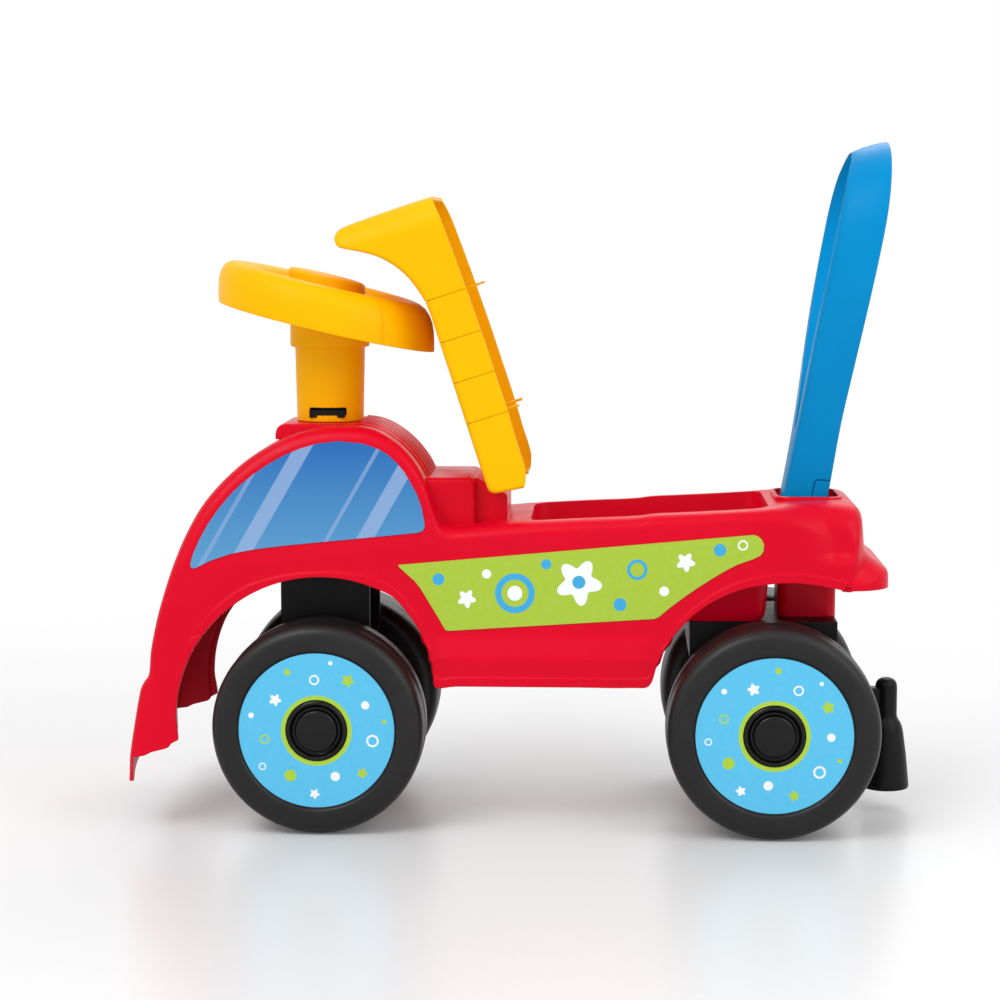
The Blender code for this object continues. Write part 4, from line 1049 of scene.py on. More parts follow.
    def arch_point(self, axle_x: float, gaps: Sequence[Pair], degrees: float) -> Pair:
        """Give a point on the rim of a wheel arch.

        Args:
            axle_x: The axle's x.
            gaps: The gap between tyre and rim, by angle.
            degrees: The point's angle about the axle.

        Returns:
            Its x and z.
        """
        reach = self.wheel_radius + along(gaps, degrees)
        angle = math.radians(degrees)
        return (axle_x + reach * math.cos(angle), self.wheel_radius + reach * math.sin(angle))

    def section_rows(self) -> list[tuple[float, float, float, float, float]]:
        """List every section: its point on the middle plane, its rim point and its corner radius.

        Returns:
            Rows of x, z, rim x, rim z and radius, from nose to tail.
        """
        rows = [(-135.4, 35.0, -109.0, 43.0, 6.0), (-135.2, 44.0, -104.5, 53.0, 6.0)]
        for x, z, angle, radius in self.hood:
            rows.append((x, z, *self.arch_point(0.0, self.front_arch, angle), radius))
        hood = rows[-1]
        tail = []
        for x, drop, angle, radius in self.tail:
            rim = self.arch_point(self.rear_axle_x, self.rear_arch, angle)
            tail.append((self.rear_axle_x + x, self.tail_top_z - drop, *rim, radius))
        for share, z in self.seat:
            rows.append((lerp(hood[0], tail[0][0], share), z, lerp(hood[2], tail[0][2], share), self.sill_z, 9.0))
        rows += tail
        for x, z, rim_x in self.flange:
            rows.append((self.rear_axle_x + x, z, self.rear_axle_x + rim_x, self.tail_z, 26.0))
        return rows

    def top_line(self) -> list[Pair]:
        """Give the body's profile on the middle plane."""
        return [(row[0], row[1]) for row in flowing(self.section_rows(), 4)]

    def skin(self) -> bpy.types.Object:
        """Lay the outer skin and give it its wall.

        Returns:
            The skin.
        """
        creases = (self.window_line, (self.flare_z, 0.0), (self.flare_z - 16.0, 0.0))
        sections = Sections(self.half_width, creases, (6.0, 0.9), 7, 7)
        rows = sections.rows(flowing(self.section_rows(), 4))
        shell = Bench.sheet("moulded_body", [[car(*point) for point in row] for row in rows])
        Bench.wall(shell, self.wall, AXIS_Z)
        return shell

    def nose_trim(self) -> list[bpy.types.Object]:
        """Model what is cut from the skin's lower edge.

        Returns:
            What lies behind the nose's front wall, the arch between its tips, and a box under the tail's flange.
        """
        outline = [(-132.2, 20.0), *self.nose_side, (-96.0, 66.0), (-80.0, 66.0), (-80.0, 20.0)]
        side = Bench.across("side_trim", outline, -110, 220)
        half = [(87.5, 33.0), (84.0, 41.0), (76.0, 45.5), (60.0, 48.6), (38.0, 50.8), (14.0, 51.6)]
        arch = [*half, *[(-y, z) for y, z in reversed(half)], (-87.5, 25.0), (87.5, 25.0)]
        front = Bench.slab("front_trim", [car(-150, y, z) for y, z in arch], Vector((35 * MM, 0, 0)))
        rear = self.rear_axle_x
        low = Bench.block("flange_trim", car(rear + 42.0, -110, 150.0), car(rear + 90.0, 110, self.tail_z - 0.1))
        return [side, front, low]

    def pad(self) -> bpy.types.Object:
        """Model the plinth under the steering column.

        Returns:
            The plinth.
        """
        under = [(x, z - 1.5) for x, z in self.top_line() if -35.4 < x < 28.0 and z > 250.0]
        nose = curve(((-36.2, 274.0), (-36.2, 281.6), (-34.6, 284.6), (-28.0, 284.9)), 7)
        outline = [*under, (33.0, 284.0), (27.0, 285.0), *reversed(nose), (-36.2, 274.0)]
        pad = Bench.across("pad", outline, -36.0, 72)
        Bench.ease_edges(pad, 2.0, 3, 50.0)
        return pad

    def strip(self) -> bpy.types.Object:
        """Model the ribbed strip that runs down the hood's back.

        Returns:
            The strip.
        """
        back = [point for point in self.top_line() if 19.0 < point[0] < 86.0 and point[1] > 216.0]
        rows = []
        for (x0, z0), (x, z), (x1, z1) in zip(back, back[1:], back[2:]):
            out = Vector((z0 - z1, x1 - x0)).normalized()
            row = []
            for i in range(-64, 65):
                y = i * 0.6
                ridge = 0.5 + 0.5 * math.cos(math.tau * y / 14.0)
                lift = (1.0 + 1.5 * ridge) * ease(38.6 - abs(y), 0.0, 4.0) + 0.1
                row.append(car(x + lift * out.x, y, z + lift * out.y))
            rows.append(row)
        strip = Bench.sheet("strip", rows)
        Bench.wall(strip, 2.6, AXIS_X)
        return strip

    def pedestal(self) -> list[bpy.types.Object]:
        """Model the block behind the cab and the hinge block with its two lugs.

        Returns:
            Pedestal, hinge block and lugs.
        """
        rows = ((209, 20, 47, 3), (241, 20, 47, 3), (244.4, 19.6, 46.6, 3), (246.4, 18.4, 45.4, 2.8),
                (247.4, 16.8, 43.8, 2.4))
        made = [Bench.lofted("pedestal", stacked(rows, self.pedestal_x - 3.6))]
        outline = rounded(((104, 211), (131, 211), (131, 234.6), (125, 238), (109, 246.6), (104, 246.6)), 1.6, 3)
        made.append(Bench.across("hinge_block", outline, -37, 74))
        for side in Side:
            turn = [math.radians(12 * step) for step in range(16)]
            crown = [(self.hinge[0] + 6.3 * math.cos(a), self.hinge[1] + 6.3 * math.sin(a)) for a in turn]
            crown += [(self.hinge[0] - 6.3, 238.0), (self.hinge[0] + 6.3, 232.5)]
            low = -36.8 if side is Side.LEFT else 30.0
            made.append(Bench.across("lug", crown, low, 6.8))
        return made

    def hollows(self) -> list[bpy.types.Object]:
        """Model what is cut from pedestal and hinge block, the hinge bore and the steering bore.

        Returns:
            The solids to cut away.
        """
        inside = Bench.lofted("hollow", stacked(((188, 12.5, 42.5, 4), (243.9, 12.5, 42.5, 4)), self.pedestal_x))
        outline = ((101, 195), (128, 195), (128, 232.5), (122, 235.9), (107.5, 243.6), (101, 243.6))
        under = Bench.across("under", outline, -34, 68)
        pin = Bench.turned("pin_bore", ((0, -50), (2.8, -50), (2.8, 50), (0, 50)), car(self.hinge[0], 0, self.hinge[1]),
                           AXIS_Y, 24)
        stem = Bench.turned("stem_bore", ((0, 195), (20.3, 195), (20.3, 292), (0, 292)), car(0, 0, 0), AXIS_Z, 64)
        return [inside, under, pin, stem]

    def well(self, grow: float, low: float, lift: float) -> bpy.types.Object:
        """Model the well's inside or outside, narrower at its floor, with its top along the seat.

        Args:
            grow: How far it stands outside the well's inner faces.
            low: The height of its floor.
            lift: How far its top stands over the seat.

        Returns:
            The solid.
        """
        line = self.top_line()
        rings = []
        for share in (0.0, 0.04, 0.1, 1.0):
            tuck = 2.5 if share == 0.0 else 0.7 if share == 0.04 else 0.0
            front = lerp(self.well_front_x + 7, self.well_front_x, share) - grow + tuck
            rear = lerp(self.well_rear_x - 5, self.well_rear_x, share) + grow - tuck
            half = lerp(51.0, 59.0, share) + grow - tuck
            ring = rectangle((front + rear) / 2, (rear - front) / 2, half, 12.0)
            rings.append([car(x, y, lerp(low, along(line, x) + lift, share)) for x, y in ring])
        return Bench.lofted("well", rings)

    def socket(self) -> list[bpy.types.Object]:
        """Model the tube that takes the handle's foot, and its raised rim.

        Returns:
            The tube and the rim.
        """
        hx, hy = self.socket_half
        tube = stacked(((144.6, hx + 4.0, hy + 3.3, 8), (229.6, hx + 4.0, hy + 3.3, 8)), self.socket_x + 1.2)
        rim = ((224.4, 24.4, 34, 12), (232.4, 24.4, 34, 12), (233.1, 23.9, 33.5, 11.6), (233.4, 23.2, 32.8, 11))
        return [Bench.lofted("socket_tube", tube), Bench.lofted("socket_rim", stacked(rim, self.socket_x + 1.2))]

    def build(self, material: bpy.types.Material) -> bpy.types.Object:
        """Model the whole body and dress it.

        Args:
            material: The red plastic.

        Returns:
            The body.
        """
        body = self.skin()
        Bench.cut(body, *self.nose_trim())
        Bench.join(body, self.strip(), self.pad(), *self.pedestal())
        Bench.join(body, self.well(3.0, 146.0, -1.4), *self.socket())
        bearing = ((0, 200), (24.7, 200), (24.7, 281.4), (0, 281.4))
        Bench.join(body, Bench.turned("bearing", bearing, car(0, 0, 0), AXIS_Z, 64),
                   Bench.block("rib", car(-1.2, -51, 226), car(1.3, 51, 282)))
        hx, hy = self.socket_half
        bore = Bench.lofted("bore", stacked(((140, hx, hy, 4), (240, hx, hy, 4)), self.socket_x))
        dish = ((228.2, 21.0, 30.2, 9.5), (229.0, 21.6, 30.8, 10), (240, 21.8, 31.0, 10))
        Bench.cut(body, self.well(0.0, self.well_floor_z, 14.0), *self.hollows(), bore,
                  Bench.lofted("dish", stacked(dish, self.socket_x + 1.2)))
        Bench.smooth(body, 30.0)
        dress(body, material, "chassis", "red_plastic", "body_shell")
        return body


@dataclass
class SideFilms:
    """The window film and the striped film on each side of the body."""

    body: BodyShell
    gap: float = 0.3
    thickness: float = 0.4
    window: tuple[Pair, ...] = (
        (-92.3, 188.2), (-92.0, 186.3), (-90.4, 185.2), (-88.4, 185.4), (-78.3, 190.5), (-64.1, 195.4), (-44.9, 199.0),
        (-21.5, 201.9), (27.4, 206.7), (69.0, 211.0), (72.2, 212.0), (73.8, 214.2), (73.9, 217.5), (71.8, 228.1),
        (68.6, 237.0), (63.9, 245.5), (59.0, 253.4), (53.0, 260.2), (47.0, 265.4), (40.9, 269.0), (29.4, 273.0),
        (12.3, 274.6), (-3.3, 272.8), (-15.0, 269.4), (-26.4, 264.6), (-38.0, 258.2), (-49.4, 250.4), (-57.2, 244.0),
        (-64.8, 236.6), (-72.6, 227.2), (-80.1, 216.4), (-86.0, 205.6), (-90.5, 195.0))
    stripe: tuple[Pair, ...] = (
        (55.3, 188.4), (56.4, 186.6), (62.4, 181.4), (67.4, 176.9), (71.6, 171.6), (78.9, 159.7), (84.2, 151.0),
        (88.4, 143.8), (89.4, 142.7), (91.4, 142.3), (235.9, 151.6), (239.4, 153.0), (247.8, 160.1), (258.2, 167.8),
        (267.0, 173.9), (276.4, 179.9), (285.0, 185.2), (293.8, 189.8), (305.5, 194.0), (310.5, 196.6), (312.3, 199.4),
        (312.7, 204.0), (311.2, 207.4), (308.8, 209.7), (305.6, 210.8))

    def film(self, name: str, outline: Sequence[Pair], side: Side) -> bpy.types.Object:
        """Cut a film from its outline and lay it on the body's side.

        Args:
            name: The film's name.
            outline: Its outline as x and z.
            side: The side that it lies on.

        Returns:
            The film.
        """
        inner = []
        for (x0, z0), (x1, z1) in zip(outline, (*outline[1:], outline[0])):
            steps = max(1, round(math.hypot(x1 - x0, z1 - z0) / 12.0))
            inner += [(lerp(x0, x1, i / steps), lerp(z0, z1, i / steps)) for i in range(steps)]
        piece = Bench.slab(name, [car(x, 0.0, z) for x, z in inner], Vector((0, self.thickness * MM, 0)))
        for vertex in piece.data.vertices:
            x = vertex.co.x / MM - FRONT_AXLE_X
            depth = vertex.co.y / MM
            vertex.co.y = side.value * (self.body.half_width(x, vertex.co.z / MM) + self.gap + depth) * MM
        piece.data.update()
        Bench.edit(piece)
        bpy.ops.mesh.quads_convert_to_tris(ngon_method="BEAUTY")
        Bench.close()
        Bench.smooth(piece, 25.0)
        return piece

    def build(self, window: bpy.types.Material, stripe: bpy.types.Material) -> None:
        """Make the four films.

        Args:
            window: The window film's material.
            stripe: The striped film's material.
        """
        for side in Side:
            hand = side.name.lower()
            piece = self.film("window_film_" + hand, self.window, side)
            dress(piece, window, "chassis", "window_print", "window_sticker_" + hand)
            piece = self.film("stripe_film_" + hand, self.stripe, side)
            dress(piece, stripe, "chassis", "green_print", "side_sticker_" + hand)


@dataclass
class RoadWheels:
    """Four blow-moulded wheels, each with a printed film and a pressed-in hub cap."""

    radius: float = 75.0
    film_radius: float = 54.7
    recess: float = 21.5

    def tyre_profile(self) -> list[Pair]:
        """Give the wheel's radius and distance in from its outer face.

        Returns:
            The closed profile, as radius and distance in from the outer face.
        """
        tread = self.radius - 0.25
        face = [(4.3, 14.0), (20.9, 14.0), (self.recess, 13.3), (self.recess, 2.5), (22.0, 2.0),
                (self.film_radius + 0.7, 2.0), (self.film_radius + 1.1, 1.7), (self.film_radius + 1.6, 0.8),
                (self.film_radius + 2.6, 0.2), (self.film_radius + 4.0, 0.0), (62.8, 0.0)]
        shoulder = curve(((62.8, 0.0), (71.2, 0.1), (74.6, 3.0), (tread, 12.5)), 12)
        back = curve(((tread, 43.0), (74.4, 50.0), (71.0, 55.6), (63.6, 56.0)), 9)
        line = [(tread, 29.2), (self.radius, 29.7), (self.radius, 30.3), (tread, 30.8), (tread, 43.0)]
        return [*face, *shoulder, *line, *back, (60.0, 55.4), (50.0, 53.2), (40.0, 53.2), (38.5, 54.0), (20.0, 51.6),
                (13.0, 51.0), (13.0, 61.0), (12.4, 61.6), (4.3, 61.6)]

    def cap_profile(self) -> list[Pair]:
        """Give the hub cap's radius and distance in from the wheel's outer face.

        Returns:
            The profile, as radius and distance in from the wheel's outer face.
        """
        rim = self.recess - 0.3
        return [(0, -1.2), (12.6, -1.2), (13.6, -0.9), (14.3, -0.3), (14.6, 0.6), (15.3, 2.6), (16.4, 2.9),
                (17.4, 2.4), (18.0, 1.2), (18.8, 0.35), (19.7, 0.2), (20.6, 0.5), (rim, 1.3), (rim, 8.6),
                (rim - 2, 8.6), (rim - 2, 4.6), (0, 4.6)]

    def cap(self) -> bpy.types.Object:
        """Model the hub cap with four small notches in its disc's edge.

        Returns:
            The cap, about the Y axis.
        """
        cap = Bench.turned("hub_cap", self.cap_profile(), ORIGIN, AXIS_Y)
        for quarter in range(4):
            angle = math.radians(90 * quarter + 20)
            at = Vector((13.6 * MM * math.cos(angle), -1.4 * MM, 13.6 * MM * math.sin(angle)))
            notch = Bench.block("notch", Vector((-0.0013, -0.0006, -0.0009)), Vector((0.0013, 0.0009, 0.0009)))
            Bench.moved(notch, Matrix.Translation(at) @ Matrix.Rotation(-angle, 4, "Y"))
            Bench.cut(cap, notch)
        return cap

    def film(self) -> bpy.types.Object:
        """Model the round film, with a UV map that runs over a square about its middle.

        Returns:
            The film, about the Y axis.
        """
        profile = ((self.recess + 0.3, 1.7), (self.film_radius, 1.7), (self.film_radius, 1.45),
                   (self.film_radius - 0.2, 1.3), (self.recess + 0.5, 1.3), (self.recess + 0.3, 1.45))
        film = Bench.turned("wheel_film", profile, ORIGIN, AXIS_Y)
        layer = film.data.uv_layers[0] if film.data.uv_layers else film.data.uv_layers.new(name="film")
        span = FILM_SPAN * MM
        for loop in film.data.loops:
            place = film.data.vertices[loop.vertex_index].co
            layer.data[loop.index].uv = (place.x / span + 0.5, place.z / span + 0.5)
        return film

    def build(self, tyre: bpy.types.Material, gloss: bpy.types.Material, film: bpy.types.Material) -> None:
        """Model one of each and copy them to the four wheels.

        Args:
            tyre: The wheel's satin plastic.
            gloss: The cap's glossy plastic.
            film: The printed film.
        """
        first = {
            "road_wheel": (Bench.turned("road_wheel", self.tyre_profile(), ORIGIN, AXIS_Y, 128), tyre,
                           "black_plastic", "wheel_"),
            "hub_disc": (self.cap(), gloss, "black_plastic", "hub_cap_"),
            "wheel_film": (self.film(), film, "wheel_print", "wheel_sticker_"),
        }
        for name, (piece, material, slot, node) in first.items():
            Bench.smooth(piece, 35.0)
            for axle in Axle:
                for side in Side:
                    place = f"{axle.name.lower()}_{side.name.lower()}"
                    x, face = axle.value
                    half_turn = 0.0 if side is Side.LEFT else math.pi
                    roll = 0.0 if axle is Axle.FRONT else 0.5
                    move = Matrix.Translation(car(x, side.value * face, self.radius))
                    spin = Matrix.Rotation(half_turn, 4, "Z") @ Matrix.Rotation(roll, 4, "Y")
                    copy = Bench.moved(piece, move @ spin, f"{name}_{place}")
                    dress(copy, material, f"wheel_{place}_body", slot, node + place)
            bpy.data.objects.remove(piece, do_unlink=True)


@dataclass
class SteeringGear:
    """The dished steering wheel, its hub cover and the column under it."""

    radius: float = 80.9
    tilt: float = math.radians(13.3)
    centre: Pair = (-1.8, 353.8)
    web: float = 21.0
    hub: float = 36.0
    seam_x: float = 47.0

    def place(self) -> Matrix:
        """Give the matrix that leans the level wheel back while its outer wall stays upright.

        Returns:
            The matrix, with a slant in it.
        """
        lean = Matrix.Identity(4)
        lean[0][0] = math.cos(self.tilt)
        lean[2][0] = -math.sin(self.tilt)
        return Matrix.Translation(car(self.centre[0], 0.0, self.centre[1])) @ lean

    def lean(self, piece: bpy.types.Object) -> None:
        """Lean a level piece by the place's matrix, as a turn and then a stretch with a second turn.

        Args:
            piece: The piece.
        """
        place = self.place()
        second, stretch, first = np.linalg.svd(np.array(place.to_3x3()))
        if np.linalg.det(second) < 0:
            first, second = -first, -second
        Bench.moved(piece, Matrix(first.tolist()).to_4x4())
        Bench.moved(piece, Matrix.Translation(place.to_translation()) @ Matrix((second * stretch).tolist()).to_4x4())

    def rim_profile(self) -> list[Pair]:
        """Give the wheel's profile in its own frame.

        Returns:
            The profile, as radius and height over the rim's lower edge.
        """
        edge = self.radius
        web = self.web
        crest = [(edge - 26.4, web + 3), (edge - 25.0, web + 5.2), (edge - 22.8, web + 8.2), (edge - 19.6, web + 10.4),
                 (edge - 15.4, web + 11.2), (edge - 10.6, web + 10.6), (edge - 6.6, web + 8.5), (edge - 3.4, web + 4.8),
                 (edge - 1.3, web - 0.4), (edge - 0.3, web - 6.2), (edge, 9), (edge, 3), (edge - 0.3, 0)]
        outer = [tuple(point) for point in flowing(crest, 3)]
        hub = [(0, 29.6), (self.hub - 2.0, 29.2), (self.hub - 0.6, 28.8), (self.hub + 0.1, 27.6),
               (self.hub + 0.5, web + 4), (self.hub + 1.4, web + 3.1), (self.hub + 2.6, web + 3)]
        inner = [(edge - 3.2, 0), (edge - 3, 10), (edge - 5.0, web - 1.5), (edge - 9.5, web + 5.0),
                 (edge - 17.0, web + 7.9), (edge - 22.6, web + 3.0), (edge - 25.4, web), (0, web)]
        return [*hub, *outer, *inner]

    def rear_segment(self) -> bpy.types.Object:
        """Model what the outer wall stands back by behind the S-shaped seam.

        Returns:
            The solid to cut away.
        """
        edge, web = self.radius - 0.9, self.web - 0.6
        ring = Bench.turned("segment", ((edge, -3), (edge + 5, -3), (edge + 5, web + 17), (edge - 14.6, web + 17),
                                        (edge - 14.5, web + 12.0), (edge - 10.6, web + 11.0), (edge - 6.6, web + 8.8),
                                        (edge - 3.4, web + 4.8), (edge - 1.3, web - 0.4), (edge - 0.3, web - 6.2),
                                        (edge, 9)),
                            ORIGIN, AXIS_Z)
        seam = curve(((self.seam_x - 9.0, 36.0), (self.seam_x - 4.0, 31.0), (self.seam_x + 1.0, 25.0),
                      (self.seam_x, 12.0)), 10)
        outline = [(self.seam_x - 9.0, 44.0), (self.seam_x - 9.0, 36.0), *seam, (self.seam_x, -6.0), (100.0, -6.0),
                   (100.0, 44.0)]
        behind = Bench.slab("behind", [Vector((x * MM, -0.1, z * MM)) for x, z in outline], Vector((0, 0.2, 0)))
        Bench.combine(ring, "INTERSECT", [behind])
        return ring

    def wheel(self) -> bpy.types.Object:
        """Model the wheel with its opening towards the nose.

        Returns:
            The steering wheel.
        """
        wheel = Bench.turned("steering_rim", self.rim_profile(), ORIGIN, AXIS_Z, 128)
        turn = [math.radians(lerp(125, 235, step / 22)) for step in range(23)]
        outline = [(54.0 * math.cos(a), 54.0 * math.sin(a)) for a in turn]
        outline += [(38.5 * math.cos(a), 38.5 * math.sin(a)) for a in reversed(turn)]
        window = Bench.slab("window", [Vector((x * MM, y * MM, 9.5 * MM)) for x, y in outline], Vector((0, 0, 0.02)))
        Bench.cut(wheel, window, self.rear_segment())
        Bench.smooth(wheel, 30.0)
        self.lean(wheel)
        return wheel

    def cover(self) -> bpy.types.Object:
        """Model the raised hub cover.

        Returns:
            The cover.
        """
        profile = ((0, 29.9), (28.5, 29.9), (28.5, 34.6), (28.2, 35.6), (27.4, 36.4), (26.2, 37.0), (22.0, 37.5),
                   (12.0, 37.9), (0, 38.0))
        cover = Bench.turned("hub_dome", profile, ORIGIN, AXIS_Z)
        Bench.smooth(cover, 32.0)
        self.lean(cover)
        return cover

    def column(self) -> bpy.types.Object:
        """Model the column: a plain tube with a slot in its left side and a collar under the wheel.

        Returns:
            The column.
        """
        top = self.centre[1] + 50
        profile = ((20.3, 285.3), (23.8, 285.3), (24.2, 285.8), (24.25, 287), (25.4, 338.2), (25.6, 338.8),
                   (27.6, 339.0), (28.5, 339.6), (28.9, 341.0), (28.9, top), (0, top), (0, 352.0), (20.3, 352.0))
        column = Bench.turned("column_tube", profile, car(0, 0, 0), AXIS_Z)
        level = self.place() @ Vector((0, 0, (self.web - 0.3) * MM))
        Bench.edit(column)
        lean = Vector((math.sin(self.tilt), 0.0, math.cos(self.tilt)))
        bpy.ops.mesh.bisect(plane_co=level, plane_no=lean, use_fill=True, clear_outer=True)
        Bench.close()
        slot = Bench.block("slot", car(-12.8, -40, 290.0), car(13.8, -10, 295.8), 1.2)
        Bench.cut(column, slot)
        Bench.smooth(column, 32.0)
        return column

    def build(self, material: bpy.types.Material) -> None:
        """Model wheel, cover and column in the yellow plastic.

        Args:
            material: The yellow plastic.
        """
        dress(self.wheel(), material, "steering", "yellow_plastic", "steering_wheel")
        dress(self.cover(), material, "steering", "yellow_plastic", "steering_hub_cover")
        dress(self.column(), material, "steering", "yellow_plastic", "steering_column")


@dataclass
class SeatLid:
    """The seat lid, standing open on its hinge: a thin moulding with ribs, tabs and ears."""

    half_width: float = 66.0
    wall: float = 2.6
    hinge: Pair = (121.9, 248.0)
    open_angle: float = math.radians(108.0)
    ribs: tuple[float, ...] = (50, 80, 110, 141)
    rows: tuple[tuple[float, float, float, float, float], ...] = (
        (-5.2, 24, -1.5, 26.4, 3), (-4.0, 12.4, 6, 29.0, 4), (-2.6, 3, 13, 29.6, 4), (0.4, -0.3, 21, 29.6, 4),
        (5, -0.8, 29, 29.6, 4), (29, -0.9, 42, 30.0, 4), (54, -0.9, 58, 30.2, 4), (80, -0.9, 80, 30.0, 4),
        (110, -1.0, 108, 29.8, 4), (138.5, -1.4, 134, 29.2, 4), (153.2, -5.0, 148, 28.8, 4),
        (166.6, -11.0, 160, 28.4, 4), (179.8, -22.0, 170, 28.0, 4), (187.9, -33.8, 178, 27.6, 4),
        (194.0, -45.0, 183.5, 27.4, 4), (196.4, -48.2, 187, 27.2, 4), (199.8, -49.4, 190, 27.0, 4),
        (203.8, -49.0, 193, 26.8, 4), (207.2, -46.2, 195.5, 26.6, 4), (208.8, -40, 197.5, 26.4, 4),
        (209.5, -26, 199.5, 26.2, 4), (210.2, 0, 201.5, 26.0, 4), (210.2, 16, 203, 25.8, 4),
        (209.8, 25, 204, 25.6, 4))
    corner: float = 20.0

    @staticmethod
    def at(u: float, v: float) -> Pair:
        """Turn lid coordinates, along the seat and down, into x and z from the hinge pin."""
        return (u - 7, 5 - v)

    def width_at(self, x: float, z: float) -> float:
        """Give half of the lid's width at a point over the pin, with a round corner at its back end."""
        past = min(max(x - (self.ribs[-1] + 42.0), 0.0), self.corner)
        return self.half_width + 0.03 * (5 - z) - self.corner + math.sqrt(self.corner ** 2 - past ** 2)

    def block(self, name: str, low: Sequence[float], high: Sequence[float]) -> bpy.types.Object:
        """Add a box between corners given as u, y and v."""
        (x0, z1), (x1, z0) = self.at(low[0], low[2]), self.at(high[0], high[2])
        return Bench.block(name, Vector((x0, low[1], z0)) * MM, Vector((x1, high[1], z1)) * MM)

    def prism(self, name: str, outline: Sequence[Pair], low_y: float, high_y: float) -> bpy.types.Object:
        """Sweep an outline in u and v across."""
        points = [Vector((x, low_y, z)) * MM for x, z in (self.at(u, v) for u, v in outline)]
        return Bench.slab(name, points, Vector((0, (high_y - low_y) * MM, 0)))

    def skin(self) -> bpy.types.Object:
        """Lay the lid's skin and give it its wall.

        Returns:
            The skin.
        """
        sections = [(*self.at(u, v), *self.at(ru, rv), radius) for u, v, ru, rv, radius in self.rows]
        rows = Sections(self.width_at, (), (0.0, 0.0), 6, 5, 6).rows(flowing(sections, 4))
        lid = Bench.sheet("lid_moulding", [[Vector(point) * MM for point in row] for row in rows])
        Bench.wall(lid, self.wall, AXIS_Z)
        return lid

    def seam(self, u: float) -> bpy.types.Object:
        """Model the bracket that cuts a fine groove over the lid from rim to rim.

        Args:
            u: The groove's place along the lid.

        Returns:
            The bracket.
        """
        reach = self.half_width
        half = [(reach - 5.0, -0.6), (reach - 2.0, 0.2), (reach - 0.5, 3.0), (reach + 0.55, 34.0), (reach + 8.0, 34.0),
                (reach + 8.0, -9.0)]
        (x, _) = self.at(u - 0.25, 0)
        outline = [*half, *[(-y, v) for y, v in reversed(half)]]
        points = [Vector((x, y, self.at(u, v)[1])) * MM for y, v in outline]
        return Bench.slab("seam", points, Vector((0.5 * MM, 0, 0)))

    def fittings(self) -> list[bpy.types.Object]:
        """Model ribs, tabs and hinge ears.

        Returns:
            Ribs, tabs and ears.
        """
        made = []
        reach = self.half_width - 1.5
        for u in self.ribs:
            made.append(self.block("rib", (u - 1, -reach, 1.6), (u + 1, reach, 9)))
        for u in (self.ribs[0], self.ribs[-1]):
            for middle in (-35, 35):
                outline = ((u - 1, 1.6), (u + 1, 1.6), (u + 0.8, 36.6), (u + 0.3, 37.5), (u - 0.3, 37.5),
                           (u - 0.8, 36.6))
                made.append(self.prism("tab", outline, middle - 5, middle + 5))
        ear = rounded(((-4.2, 1.5), (18, 1.5), (13.5, 9), (9.5, 11), (3.5, 10.5), (-4.2, 7.5)), 1.4, 3)
        for low in (-42.0, 38.5):
            made.append(self.prism("ear", ear, low, low + 3.5))
        return made

    def build(self, material: bpy.types.Material) -> None:
        """Model the lid shut, open it on its hinge and dress it.

        Args:
            material: The yellow plastic.
        """
        lid = self.skin()
        Bench.join(lid, *self.fittings())
        Bench.cut(lid, self.block("notch", (-12, -38.5, -6), (16, 38.5, 28)))
        for u in self.ribs:
            Bench.cut(lid, self.seam(u))
        for side in Side:
            low, high = sorted((side.value * 31.5, side.value * 41.0))
            pin = Bench.turned("pin", ((0, low), (2.5, low), (2.5, high), (0, high)), ORIGIN, AXIS_Y, 32)
            Bench.join(lid, pin)
        Bench.smooth(lid, 32.0)
        turn = Matrix.Rotation(-self.open_angle, 4, "Y")
        Bench.moved(lid, Matrix.Translation(car(self.hinge[0], 0, self.hinge[1])) @ turn)
        dress(lid, material, "lid", "yellow_plastic", "seat_lid")


